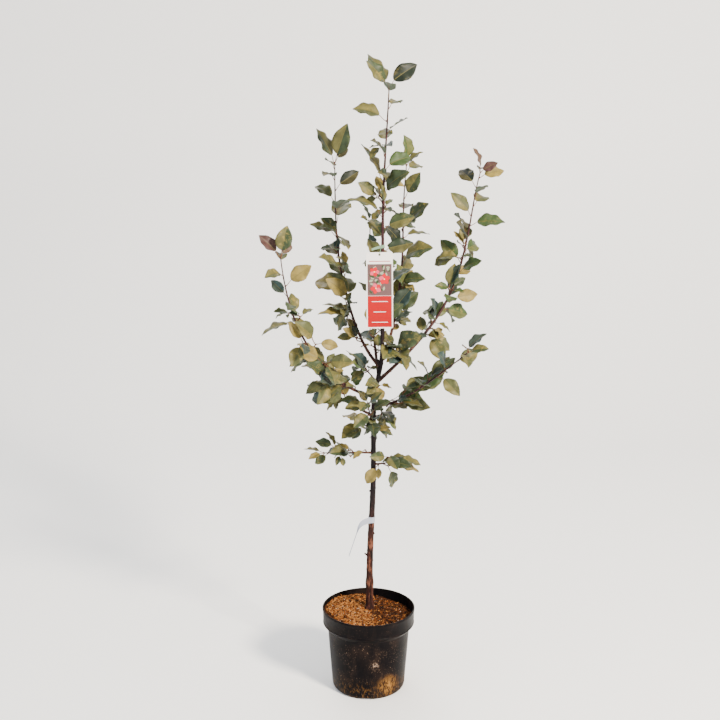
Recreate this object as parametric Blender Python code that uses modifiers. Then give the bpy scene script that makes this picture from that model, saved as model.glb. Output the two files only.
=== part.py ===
# Dwarf apple tree in a round black nursery pot: pot, compost, trunk, boughs,
# leafy shoots, a hanging tag with its tie, and a loop label round the trunk.
# Metres, +Z up. The origin is the middle of the pot's flat underside, and -Y is the front.
import math
import random

import bmesh
import bpy
import numpy as np
from mathutils import Matrix, Vector, noise

GAP = 0.0003
UP = np.array([0.0, 0.0, 1.0])

# Pot
POT_HEIGHT = 0.240
RIM_RADIUS = 0.133
RIM_ROUND = 0.004
COLLAR_HEIGHT = 0.046
SHOULDER_HEIGHT = 0.013
SHOULDER_RADIUS = 0.1175
BASE_RADIUS = 0.1045
BASE_ROUND = 0.008
WALL = 0.0025
FLOOR = 0.009
CHANNELS = 4
CHANNEL_WIDTH = 0.031
CHANNEL_DEPTH = 0.006
CHANNEL_START = 0.052
CHANNEL_BEARING = 266
DRAINS = 8
DRAIN_RADIUS = 0.0055
DRAIN_PLACE = 0.085
DRAIN_SIDES = 6
POT_SIDES = 32

# Compost
SOIL_LEVEL = 0.226
SOIL_RINGS = 4
SOIL_SIDES = 20
SOIL_SLACK = 0.0007
FOOT_REST = 0.032

# Trunk, up to its fork, and the leader that carries on from it. Each step is how far it shifts to the
# right and the two heights between which it does so.
FOOT = (0.003, 0.016)
TRUNK_STEPS = ((0.010, 0.33, 0.66), (0.0235, 0.83, 1.00), (0.017, 1.34, 1.80))
LEAN_BACK = (0.24, 0.62)
TRUNK_WAVE = 0.004
TREE_TOP = 1.690
TRUNK_END = 1.060
TRUNK_RADIUS = 0.0102
FORK_RADIUS = 0.0063
FORK_HEIGHT = 0.950
LEADER_TIP_RADIUS = 0.0016
SHOOT_TIP_RADIUS = 0.0013
FLARE = 0.0042
FLARE_HEIGHT = 0.016
GRAFT_HEIGHT = 0.305
GRAFT_SWELL = 0.0022
END_STRAIGHT = 0.003
SWAY = 0.004
BOUGH_STEP = 0.026
STEM_STEP = 0.058
LEADER_STEPS = 12

# Leaves
BLADE_WIDTH = 0.62
BLADE_THICKNESS = 0.016
BLADE_STATIONS = (0.30, 0.74)
PETIOLE_RADIUS = 0.0009
PETIOLE_ROOT = 0.002
TWIG_RADIUS = 0.0020
TWIG_TIP_RADIUS = 0.0016
FUSE_TRIES = 6
TRY_SPIN = 25
TRY_SINK = 0.0002
SPIRAL = 137.5
LIGHT = (0.30, -0.72, 0.62)
LIT = 0.80
TRIES = 9
LIMB_CLEARANCE = 0.0028
SPACE_MARGIN = 0.003
LEAF_CLEARANCE = 0.006
WELDS = (2e-6, 1e-5, 4e-5)

# Each shoot: where it leaves the trunk, which way it faces (0 is +X, 90 is the back), its slopes at both
# ends, how far out and up its tip is, and how long it holds each slope. bare is the share without leaves.
SHOOTS = [
    dict(name="upper_left", height=0.947, bearing=128, leave=25, arrive=92, reach=0.205, rise=0.548,
         hold=(0.33, 0.33), radius=0.0045, bare=0.26,
         nodes=15, spurs=0.20, leaf=0.078, tip=1.25, start=130, seed=86),
    dict(name="upper_right", height=0.977, bearing=62, leave=34, arrive=78, reach=0.146, rise=0.513,
         hold=(0.35, 0.38), radius=0.0044, bare=0.22,
         nodes=13, spurs=0.20, leaf=0.076, tip=1.0, start=115, seed=114),
    dict(name="far_right", height=0.906, bearing=28, leave=34, arrive=72, reach=0.326, rise=0.564,
         hold=(0.61, 0.30), radius=0.0048, bare=0.17,
         nodes=17, spurs=0.32, leaf=0.074, tip=0.85, start=310, seed=69),
    dict(name="far_left", height=0.863, bearing=212, leave=18, arrive=84, reach=0.287, rise=0.406,
         hold=(0.37, 0.38), radius=0.0045, bare=0.20,
         nodes=15, spurs=0.45, leaf=0.067, tip=1.0, start=140, seed=31),
    dict(name="back", height=0.925, bearing=98, leave=32, arrive=86, reach=0.170, rise=0.400,
         hold=(0.35, 0.35), radius=0.0042, bare=0.26,
         nodes=11, spurs=0.28, leaf=0.073, tip=0.9, start=155, seed=110),
    dict(name="lower_right", height=0.837, bearing=325, leave=5, arrive=40, reach=0.296, rise=0.187,
         hold=(0.23, 0.35), radius=0.0041, bare=0.14,
         nodes=10, spurs=0.42, leaf=0.069, tip=1.0, start=170, seed=75),
    dict(name="lower_left", height=0.807, bearing=155, leave=22, arrive=66, reach=0.180, rise=0.122,
         hold=(0.39, 0.36), radius=0.0037, bare=0.27,
         nodes=8, spurs=0.55, leaf=0.062, tip=0.85, start=310, seed=22),
    dict(name="front", height=0.790, bearing=262, leave=22, arrive=48, reach=0.120, rise=0.085,
         hold=(0.35, 0.35), radius=0.0034, bare=0.30,
         nodes=5, spurs=0.60, leaf=0.062, tip=0.85, start=310, seed=69),
    dict(name="low_left", height=0.702, bearing=190, leave=2, arrive=0, reach=0.140, rise=0.006,
         hold=(0.35, 0.35), radius=0.0031, bare=0.16,
         nodes=5, spurs=0.70, leaf=0.057, tip=0.8, start=95, seed=1),
    dict(name="low_right", height=0.668, bearing=338, leave=8, arrive=18, reach=0.052, rise=0.012,
         hold=(0.35, 0.35), radius=0.0029, bare=0.40,
         nodes=2, spurs=1.0, leaf=0.064, tip=1.0, start=260, seed=57),
]
# Short fruiting spurs that stand on the trunk itself.
SPURS = [
    dict(name="spur_left", height=0.768, bearing=178, slope=28, length=0.026,
         leaves=6, leaf=0.070, seed=97),
    dict(name="spur_right", height=0.806, bearing=352, slope=20, length=0.020,
         leaves=4, leaf=0.056, seed=106),
    dict(name="spur_back", height=0.742, bearing=80, slope=35, length=0.024,
         leaves=4, leaf=0.058, seed=57),
    dict(name="spur_front", height=0.884, bearing=292, slope=35, length=0.022,
         leaves=4, leaf=0.054, seed=67),
    dict(name="fork_left", height=0.905, bearing=172, slope=48, length=0.034,
         leaves=7, leaf=0.068, seed=50),
    dict(name="fork_right", height=0.962, bearing=338, slope=40, length=0.044,
         leaves=8, leaf=0.074, seed=137),
]
SPUR_RADIUS = 0.0021
SPUR_ROOM = 0.035
LEADER = dict(name="leader", nodes=20, spurs=0.14, leaf=0.082, tip=1.3, start=355, seed=63)

# Tag, its tie, and the label round the trunk
TAG_WIDTH = 0.072
TAG_HEIGHT = 0.208
TAG_THICKNESS = 0.0008
TAG_CORNER = 0.004
TAG_TOP = 1.2645
TAG_PLACE = (0.0275, -0.0075)
TAG_TURN = 0.6
TAG_HOLE_DROP = 0.0068
TAG_HOLE_RADIUS = 0.0030
TAG_VIEW = 0.30
TIE_HEIGHT = 1.279
TIE_WIDTH = 0.008
TIE_THICKNESS = 0.0009
TIE_TONGUE = 0.030
TIE_LOOP_RADIUS = 0.0006
TIE_LOOP_DEPTH = 0.0034
LABEL_HEIGHT = 0.5025
LABEL_WIDTH = 0.017
LABEL_THICKNESS = 0.0006
LABEL_TAIL = 0.134
LABEL_TAIL_WIDTH = 0.008
BAND_SIDES = 14

# Colours from the photograph, linear, with roughness
FINISHES = {
    "pot_plastic": ((0.016, 0.015, 0.014), 0.45),
    "compost": ((0.190, 0.078, 0.028), 0.95),
    "bark": ((0.058, 0.030, 0.026), 0.75),
    "foliage": ((0.085, 0.130, 0.030), 0.50),
    "tag_card": ((0.620, 0.040, 0.045), 0.35),
    "tie_plastic": ((0.060, 0.300, 0.160), 0.45),
    "label_plastic": ((0.620, 0.640, 0.760), 0.40),
}


def unit(v):
    return v / math.sqrt(float(v @ v))


def smoothstep(low, high, x):
    t = min(1.0, max(0.0, (x - low) / (high - low)))
    return t * t * (3 - 2 * t)


def compass(bearing, slope):
    """The unit direction at a bearing round +Z and a slope above the horizontal, both in degrees."""
    b, s = math.radians(bearing), math.radians(slope)
    return np.array([math.cos(b) * math.cos(s), math.sin(b) * math.cos(s), math.sin(s)])


def turned(v, axis, degrees):
    """v turned about a unit axis."""
    a = math.radians(degrees)
    return v * math.cos(a) + np.cross(axis, v) * math.sin(a) + axis * float(axis @ v) * (1 - math.cos(a))


# The trunk leans a little, steps sideways at the fork where an old leader was cut, and becomes the leader.
def trunk_point(z):
    x = FOOT[0]
    for step, low, high in TRUNK_STEPS:
        x += step * smoothstep(low, high, z)
    y = FOOT[1] * (1 - smoothstep(*LEAN_BACK, z)) + TRUNK_WAVE * math.sin(7.5 * (z - SOIL_LEVEL))
    return np.array([x, y, z])


def trunk_radius(z):
    if z < FORK_HEIGHT:
        share = max(0.0, (z - SOIL_LEVEL) / (FORK_HEIGHT - SOIL_LEVEL))
        body = TRUNK_RADIUS + (FORK_RADIUS - TRUNK_RADIUS) * share ** 0.8
    else:
        share = (z - FORK_HEIGHT) / (TREE_TOP - FORK_HEIGHT)
        body = FORK_RADIUS + (LEADER_TIP_RADIUS - FORK_RADIUS) * share
    flare = FLARE * math.exp(-(z - SOIL_LEVEL) / FLARE_HEIGHT)
    graft = GRAFT_SWELL * math.exp(-((z - GRAFT_HEIGHT) / 0.016) ** 2)
    return body + flare + graft


def trunk_way(z):
    """The direction in which the trunk grows at a height."""
    return unit(trunk_point(z + 0.005) - trunk_point(z - 0.005))


def bough_curve(shoot):
    """The shoot's centre line as a function of t, from 0 at the trunk's axis to 1 at its tip."""
    start = trunk_point(shoot["height"])
    out = compass(shoot["bearing"], 0)
    side = np.cross(UP, out)
    reach, rise = shoot["reach"], shoot["rise"]
    chord = math.hypot(reach, rise)
    leave, arrive = math.radians(shoot["leave"]), math.radians(shoot["arrive"])
    first, last = shoot["hold"][0] * chord, shoot["hold"][1] * chord
    stops = [(0.0, 0.0), (first * math.cos(leave), first * math.sin(leave)),
             (reach - last * math.cos(arrive), rise - last * math.sin(arrive)), (reach, rise)]

    def point(t):
        weights = ((1 - t) ** 3, 3 * t * (1 - t) ** 2, 3 * t * t * (1 - t), t ** 3)
        along = sum(w * s[0] for w, s in zip(weights, stops))
        height = sum(w * s[1] for w, s in zip(weights, stops))
        sway = SWAY * chord * math.sin(math.pi * t) * math.sin(9 * t + shoot["bearing"])
        return start + out * along + UP * height + side * sway

    return point


def bough_radius(shoot, t):
    body = SHOOT_TIP_RADIUS + (shoot["radius"] - SHOOT_TIP_RADIUS) * (1 - t) ** 0.85
    return body + 0.30 * shoot["radius"] * math.exp(-t * shoot["reach"] / 0.010)


def curve_length(point, first, last, steps=40):
    spots = [point(first + (last - first) * i / steps) for i in range(steps + 1)]
    return sum(math.dist(a, b) for a, b in zip(spots, spots[1:]))


class Stem:
    """A limb's centre line and radii, sampled closely enough to test distances against."""

    def __init__(self, name, point, radius, first, last, spacing=0.006):
        count = max(3, int(curve_length(point, first, last) / spacing))
        ts = [first + (last - first) * i / count for i in range(count + 1)]
        self.name = name
        self.points = np.array([point(t) for t in ts])
        self.radii = np.array([radius(t) for t in ts])

    def distance(self, spots):
        """Each spot's distance to the centre line, and the limb's radius there."""
        gaps = np.linalg.norm(spots[:, None, :] - self.points[None, :, :], axis=2)
        nearest = gaps.argmin(axis=1)
        return gaps[np.arange(len(spots)), nearest], self.radii[nearest]


def frame_along(point, t, step=0.004):
    """The direction of growth at t, and two directions square to it."""
    low, high = max(0.0, t - step), min(1.0, t + step)
    along = unit(point(high) - point(low))
    hint = UP if abs(along[2]) < 0.9 else np.array([0.0, -1.0, 0.0])
    across = unit(np.cross(along, hint))
    return along, across, np.cross(across, along)


# A leaf is its petiole's root and the blade's base, directions, length, bend, fold and twist.
def blade_centre(leaf, t):
    """A point on the blade's midrib, with the direction of growth and the upper side's normal there."""
    bend = math.radians(leaf["bend"])
    angle = bend * t
    ahead, drop = math.sin(angle) / bend, (1 - math.cos(angle)) / bend
    spot = leaf["base"] + leaf["length"] * (ahead * leaf["along"] - drop * leaf["normal"])
    along = leaf["along"] * math.cos(angle) - leaf["normal"] * math.sin(angle)
    normal = leaf["normal"] * math.cos(angle) + leaf["along"] * math.sin(angle)
    return spot, along, turned(normal, along, leaf["twist"] * t)


def blade_half_width(leaf, t):
    shape = max(0.0, math.sin(math.pi * t ** 0.82)) ** 0.82
    return 0.5 * BLADE_WIDTH * leaf["length"] * leaf["broad"] * shape * (1 - 0.22 * t ** 5)


def blade_point(leaf, t, across, lift):
    """A point of the blade: across is -1 to 1 from edge to edge, lift is off the upper side in metres."""
    spot, along, normal = blade_centre(leaf, t)
    side = np.cross(along, normal)
    fold = math.radians(leaf["fold"])
    width = blade_half_width(leaf, t) * abs(across)
    return (spot + side * math.copysign(width * math.cos(fold), across)
            + normal * (width * math.sin(fold) + lift))


TEST_STATIONS = ((0.12, 0.0), (0.3, -1.0), (0.3, 1.0), (0.35, 0.0), (0.55, -1.0), (0.55, 1.0), (0.6, 0.0),
                 (0.8, -1.0), (0.8, 1.0), (0.8, 0.0), (1.0, 0.0))


def draw_leaf(rng, root, growth, outward, length, spread):
    """One leaf by chance: outward is square to growth, spread is the petiole's angle from growth."""
    s = math.radians(spread + rng.uniform(-13, 13))
    size = length * rng.uniform(0.80, 1.16)
    aim = unit(growth * math.cos(s) + outward * math.sin(s) + 0.12 * UP)
    petiole = rng.uniform(0.26, 0.40) * size
    level = np.cross(aim, UP)
    level = unit(level) if float(level @ level) > 1e-4 else np.array([1.0, 0.0, 0.0])
    along = turned(aim, level, -rng.uniform(4, 30))
    normal = unit(np.cross(level, along))
    light = np.array(LIGHT)
    flat = light - along * float(light @ along)
    lean = math.degrees(math.atan2(float(np.cross(normal, flat) @ along), float(normal @ flat)))
    normal = turned(normal, along, LIT * lean + rng.uniform(-32, 32))
    return dict(root=root, base=root + aim * petiole, along=along, normal=normal, length=size,
                bend=rng.uniform(5, 52), fold=rng.uniform(8, 30), twist=rng.uniform(-24, 24),
                broad=rng.uniform(0.86, 1.12), tint=rng.random())


class Garden:
    """All limbs, with the tests that keep the leafy shoots apart from them and from each other."""

    def __init__(self):
        self.limbs = []
        self.cores = {}
        self.room = {}
        self.boxes = []

    def add_core(self, stem, room):
        """A leafy stem, and how far its space reaches beyond halfway to the next one."""
        self.limbs.append(stem)
        self.cores[stem.name] = stem
        self.room[stem.name] = room

    def fits(self, owner, leaf, placed):
        spots = np.array([blade_point(leaf, t, across, 0.0) for t, across in TEST_STATIONS])
        reach = leaf["base"] - leaf["root"]
        petiole = np.array([leaf["root"] + reach * share for share in (0.5, 0.8, 1.0)])
        both = np.vstack([leaf["root"], petiole, spots])
        for low, high in self.boxes:
            if ((both > low) & (both < high)).all(axis=1).any():
                return False
        for limb in self.limbs:
            tested = spots if limb.name == owner else both[1:]
            gaps, radii = limb.distance(tested)
            if (gaps < radii + LIMB_CLEARANCE).any():
                return False
        own = self.cores[owner].distance(spots)[0] - self.room[owner]
        for name, core in self.cores.items():
            if name != owner and (core.distance(spots)[0] - self.room[name] < own + 2 * SPACE_MARGIN).any():
                return False
        for other in placed:
            gaps = np.linalg.norm(spots[:, None, :] - other["spots"][None, :, :], axis=2)
            if gaps.min() < LEAF_CLEARANCE:
                return False
        leaf["spots"] = spots
        return True


def place(garden, owner, placed, draw):
    """Draws a leaf until one keeps to its shoot's own space, or gives it up."""
    for attempt in range(TRIES):
        leaf = draw(attempt)
        if garden.fits(owner, leaf, placed):
            placed.append(leaf)
            return


def grow_shoot(garden, spec, point, first):
    """Leaves in a spiral up a shoot: on short spurs low down, singly above, and a few at the tip."""
    owner = spec["name"]
    rng = random.Random(spec["seed"])
    twigs, leaves = [], []
    for k in range(spec["nodes"]):
        share = (k + 0.35) / spec["nodes"]
        t = first + (1 - first) * share
        spot = point(t)
        along, across, over = frame_along(point, t)
        turn = math.radians(spec["start"] + SPIRAL * k + rng.uniform(-16, 16))
        outward = across * math.cos(turn) + over * math.sin(turn)
        size = spec["leaf"] * (1.06 - 0.30 * share ** 3)
        if share < spec["spurs"]:
            aim = unit(outward + along * 0.55 + 0.35 * UP)
            tip = spot + aim * rng.uniform(0.012, 0.026)
            side = unit(np.cross(aim, along))
            before = len(leaves)
            for j in range(rng.choice((2, 3))):
                spin = rng.uniform(0, 360) + 120 * j
                place(garden, owner, leaves, lambda attempt: draw_leaf(
                    rng, tip - aim * 0.002, aim, turned(side, aim, spin + 37 * attempt), size * 0.92, 52))
            if len(leaves) > before:
                twigs.append((spot, tip))
        else:
            place(garden, owner, leaves, lambda attempt: draw_leaf(
                rng, spot, along, turned(outward, along, 24 * attempt), size, 46))
    along, across, over = frame_along(point, 1.0)
    for j in range(3):
        turn = math.radians(spec["start"] + SPIRAL * (spec["nodes"] + j))
        outward = across * math.cos(turn) + over * math.sin(turn)
        place(garden, owner, leaves, lambda attempt: draw_leaf(
            rng, point(1.0) - along * 0.003, along, turned(outward, along, 30 * attempt),
            spec["leaf"] * spec["tip"] * (1.0 - 0.15 * j), 24 + 6 * j))
    return twigs, leaves


def grow_spur(garden, spec, tip, aim):
    """A rosette of leaves round the tip of a spur."""
    rng = random.Random(spec["seed"])
    leaves = []
    side = unit(np.cross(aim, UP))
    for j in range(spec["leaves"]):
        spin = 360 * j / spec["leaves"] + rng.uniform(-20, 20)
        spread = 28 if j == 0 else 62
        place(garden, spec["name"], leaves, lambda attempt: draw_leaf(
            rng, tip - aim * 0.002, aim, turned(side, aim, spin + 31 * attempt), spec["leaf"], spread))
    return [], leaves


def spur_line(spec):
    """A spur's centre line, from the trunk's axis to its tip."""
    start = trunk_point(spec["height"])
    aim = compass(spec["bearing"], spec["slope"])
    whole = trunk_radius(spec["height"]) / math.cos(math.radians(spec["slope"])) + spec["length"]
    return start, aim, whole


def leader_point(t):
    low = TRUNK_END + GAP
    return trunk_point(low + (TREE_TOP - low) * t)


def leader_radius(t):
    low = TRUNK_END + GAP
    return trunk_radius(low + (TREE_TOP - low) * t)


def plan_garden():
    """Every limb as a sampled line, the leafy parts as cores, and the boxes that leaves keep out of."""
    garden = Garden()
    garden.limbs.append(Stem("trunk", trunk_point, trunk_radius, SOIL_LEVEL, TRUNK_END))
    garden.add_core(Stem("leader", leader_point, leader_radius, 0.0, 1.0), 0.0)
    for shoot in SHOOTS:
        point = bough_curve(shoot)
        radius = lambda t, shoot=shoot: bough_radius(shoot, t)
        garden.limbs.append(Stem(shoot["name"] + "_bough", point, radius, 0.0, shoot["bare"]))
        short = max(0.0, 0.16 - shoot["reach"] - shoot["rise"])
        garden.add_core(Stem(shoot["name"], point, radius, shoot["bare"], 1.0), 0.35 * short)
    for spec in SPURS:
        start, aim, whole = spur_line(spec)
        line = lambda t, start=start, aim=aim, whole=whole: start + aim * whole * t
        garden.add_core(Stem(spec["name"], line, lambda t: SPUR_RADIUS, 0.5, 1.0, 0.003), SPUR_ROOM)
    half = TAG_WIDTH / 2 + 0.006
    tag_x, tag_y = TAG_PLACE
    garden.boxes.append((np.array([tag_x - half, tag_y - TAG_VIEW, TAG_TOP - TAG_HEIGHT - 0.006]),
                         np.array([tag_x + half, tag_y + 0.005, TIE_HEIGHT + 0.014])))
    tie = trunk_point(TIE_HEIGHT)
    garden.boxes.append((tie - np.array([0.042, 0.012, 0.009]), tie + np.array([0.009, 0.009, 0.009])))
    return garden


def grow_all(garden):
    """The twigs and leaves of every mass, by its name."""
    grown = {"leader": grow_shoot(garden, LEADER, leader_point, 0.0)}
    for shoot in SHOOTS:
        grown[shoot["name"]] = grow_shoot(garden, shoot, bough_curve(shoot), shoot["bare"])
    for spec in SPURS:
        start, aim, whole = spur_line(spec)
        grown[spec["name"]] = grow_spur(garden, spec, start + aim * whole, aim)
    return grown


def clear_scene():
    for obj in list(bpy.data.objects):
        bpy.data.objects.remove(obj, do_unlink=True)


def material(name):
    found = bpy.data.materials.get(name)
    if found:
        return found
    colour, roughness = FINISHES[name]
    made = bpy.data.materials.new(name)
    made.use_nodes = True
    shader = made.node_tree.nodes["Principled BSDF"]
    shader.inputs["Base Color"].default_value = (*colour, 1)
    shader.inputs["Roughness"].default_value = roughness
    return made


def link(obj, collection, finish=None):
    collection.objects.link(obj)
    if finish:
        obj.data.materials.clear()
        obj.data.materials.append(material(finish))
    return obj


def mesh_object(name, bm, collection, finish=None):
    mesh = bpy.data.meshes.new(name)
    bmesh.ops.recalc_face_normals(bm, faces=bm.faces)
    bmesh.ops.triangulate(bm, faces=bm.faces)
    bm.to_mesh(mesh)
    bm.free()
    return link(bpy.data.objects.new(name, mesh), collection, finish)


def smooth(obj, angle=35):
    obj.data.shade_smooth()
    obj.data.set_sharp_from_angle(angle=math.radians(angle))


def apply_modifiers(obj):
    graph = bpy.context.evaluated_depsgraph_get()
    mesh = bpy.data.meshes.new_from_object(obj.evaluated_get(graph))
    obj.modifiers.clear()
    obj.data = mesh


def curve_to_mesh(guide, name, collection, finish):
    """A curve object made a mesh, with its caps welded on, and removed."""
    graph = bpy.context.evaluated_depsgraph_get()
    mesh = bpy.data.meshes.new_from_object(guide.evaluated_get(graph))
    bm = bmesh.new()
    bm.from_mesh(mesh)
    bpy.data.meshes.remove(mesh)
    bmesh.ops.remove_doubles(bm, verts=bm.verts, dist=1e-6)
    made = mesh_object(name, bm, collection, finish)
    made.matrix_world = guide.matrix_world.copy()
    bpy.data.objects.remove(guide, do_unlink=True)
    return made


def tube(name, points, radii, rounds, collection, finish=None, closed=False):
    """A tapering limb: a curve with a radius at each point. rounds sets its sides: 4, 6, 8 and so on."""
    data = bpy.data.curves.new(name, "CURVE")
    data.dimensions = "3D"
    data.bevel_depth = 1.0
    data.bevel_resolution = rounds
    data.use_fill_caps = not closed
    spline = data.splines.new("POLY")
    spline.points.add(len(points) - 1)
    spline.use_cyclic_u = closed
    for spot, co, radius in zip(spline.points, points, radii):
        spot.co = (*co, 1)
        spot.radius = radius
    guide = bpy.data.objects.new(name + "_guide", data)
    collection.objects.link(guide)
    return curve_to_mesh(guide, name, collection, finish)


def turn_profile(name, profile, sides, collection, finish, ring=False):
    """A round piece: the profile, drawn on +X, turned about Z."""
    edges = [(i, i + 1) for i in range(len(profile) - 1)]
    if ring:
        edges.append((len(profile) - 1, 0))
    mesh = bpy.data.meshes.new(name)
    mesh.from_pydata([(r, 0, z) for r, z in profile], edges, [])
    piece = link(bpy.data.objects.new(name, mesh), collection, finish)
    screw = piece.modifiers.new("turn", "SCREW")
    screw.steps = screw.render_steps = sides
    screw.use_merge_vertices = True
    screw.merge_threshold = 0.0001
    apply_modifiers(piece)
    return piece


def strip(name, points, sides, widths, thickness, collection, finish=None):
    """A bent strip: a row of squares laid along the points, made solid."""
    last = len(points) - 1
    bm = bmesh.new()
    bmesh.ops.create_grid(bm, x_segments=last, y_segments=1, size=1)
    for v in bm.verts:
        i = round((v.co.x + 1) / 2 * last)
        v.co = Vector(points[i] + sides[i] * (widths[i] / 2 * math.copysign(1, v.co.y)))
    made = mesh_object(name, bm, collection, finish)
    solid = made.modifiers.new("thickness", "SOLIDIFY")
    solid.thickness = thickness
    solid.offset = 0
    apply_modifiers(made)
    return made


def islands_of(bm):
    """The mesh's separate pieces, smallest first."""
    islands, seen = [], set()
    for seed in bm.verts:
        if seed in seen:
            continue
        island, queue = [], [seed]
        seen.add(seed)
        while queue:
            v = queue.pop()
            island.append(v)
            for edge in v.link_edges:
                other = edge.other_vert(v)
                if other not in seen:
                    seen.add(other)
                    queue.append(other)
        islands.append(island)
    return sorted(islands, key=len)


def one_body(mesh, weld):
    """The mesh with near points merged, loose scraps dropped and all faces cut to triangles."""
    bm = bmesh.new()
    bm.from_mesh(mesh)
    bmesh.ops.remove_doubles(bm, verts=bm.verts, dist=weld)
    bmesh.ops.dissolve_degenerate(bm, edges=bm.edges, dist=weld)
    for island in islands_of(bm)[:-1]:
        bmesh.ops.delete(bm, geom=island, context="VERTS")
    wires = [edge for edge in bm.edges if not edge.link_faces]
    bmesh.ops.delete(bm, geom=wires, context="EDGES")
    bmesh.ops.triangulate(bm, faces=bm.faces)
    return bm


def solid(obj, operation, solvers, **operand):
    """Applies one Boolean to obj, by the first solver and weld that leave one closed body."""
    for solver in solvers:
        modifier = obj.modifiers.new("solid", "BOOLEAN")
        modifier.operation = operation
        modifier.solver = solver
        for name, value in operand.items():
            setattr(modifier, name, value)
        graph = bpy.context.evaluated_depsgraph_get()
        mesh = bpy.data.meshes.new_from_object(obj.evaluated_get(graph))
        obj.modifiers.clear()
        for weld in WELDS:
            bm = one_body(mesh, weld)
            closed = all(len(edge.link_faces) == 2 for edge in bm.edges)
            if closed:
                bm.to_mesh(mesh)
            bm.free()
            if closed:
                obj.data = mesh
                return True
    return False


def fuse(obj, parts):
    """One Boolean union of obj with everything in parts, which is then removed."""
    done = solid(obj, "UNION", ("EXACT", "MANIFOLD"), operand_type="COLLECTION", collection=parts)
    for piece in list(parts.objects):
        bpy.data.objects.remove(piece, do_unlink=True)
    return done


def cut(obj, cutter):
    """One Boolean difference, which leaves the limb's outer part."""
    solid(obj, "DIFFERENCE", ("EXACT",), object=cutter)


def leaf_shape(name, leaf, sink, collection):
    """Petiole and blade: a four-sided ball whose rings run from the sunk root to the blade's tip."""
    bm = bmesh.new()
    last = len(BLADE_STATIONS) + 3
    bmesh.ops.create_uvsphere(bm, u_segments=4, v_segments=last, radius=1)
    aim = unit(leaf["base"] - leaf["root"])
    side = np.cross(aim, leaf["normal"])
    root = leaf["root"] - aim * sink
    for v in bm.verts:
        ring = round((1 - math.acos(max(-1.0, min(1.0, v.co.z))) / math.pi) * last)
        x, y = ((0.0, 0.0) if ring in (0, last) else (round(v.co.x, 3), round(v.co.y, 3)))
        across = math.copysign(1.0, x) if x else 0.0
        over = math.copysign(1.0, y) if y else 0.0
        if ring <= 2:
            radius = PETIOLE_RADIUS * (1.35, 1.35, 0.9)[ring]
            spot = root + aim * PETIOLE_ROOT * (ring == 1) if ring < 2 else leaf["base"]
            v.co = Vector(spot + radius * (side * across + leaf["normal"] * over))
        elif ring < last:
            lift = 0.5 * BLADE_THICKNESS * leaf["length"] * over
            v.co = Vector(blade_point(leaf, BLADE_STATIONS[ring - 3], across, lift))
        else:
            v.co = Vector(blade_point(leaf, 1.0, 0.0, 0.0))
    return mesh_object(name, bm, collection)


def twig_shape(name, start, tip, spin, collection):
    """A short three-sided spur, from the middle of its stem, spun about its own length."""
    foot, top = Vector(start), Vector(tip)
    turn = Vector(UP).rotation_difference(top - foot).to_matrix().to_4x4()
    turn = turn @ Matrix.Rotation(math.radians(spin), 4, "Z")
    bm = bmesh.new()
    bmesh.ops.create_cone(bm, cap_ends=True, segments=3, radius1=TWIG_RADIUS, radius2=TWIG_TIP_RADIUS,
                          depth=(top - foot).length, matrix=Matrix.Translation((foot + top) / 2) @ turn)
    mesh_object(name, bm, collection)


def add_leaves(stem, twigs, leaves, scrap):
    """A leafy shoot as one solid. Each further try spins the twigs and sinks the leaves a little deeper."""
    for attempt in range(FUSE_TRIES):
        for i, (start, tip) in enumerate(twigs):
            twig_shape(f"twig_{i}", start, tip, attempt * TRY_SPIN, scrap)
        for i, leaf in enumerate(leaves):
            leaf_shape(f"leaf_{i}", leaf, attempt * TRY_SINK, scrap)
        if fuse(stem, scrap):
            return
    print(stem.name, "has no closed form")


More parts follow.
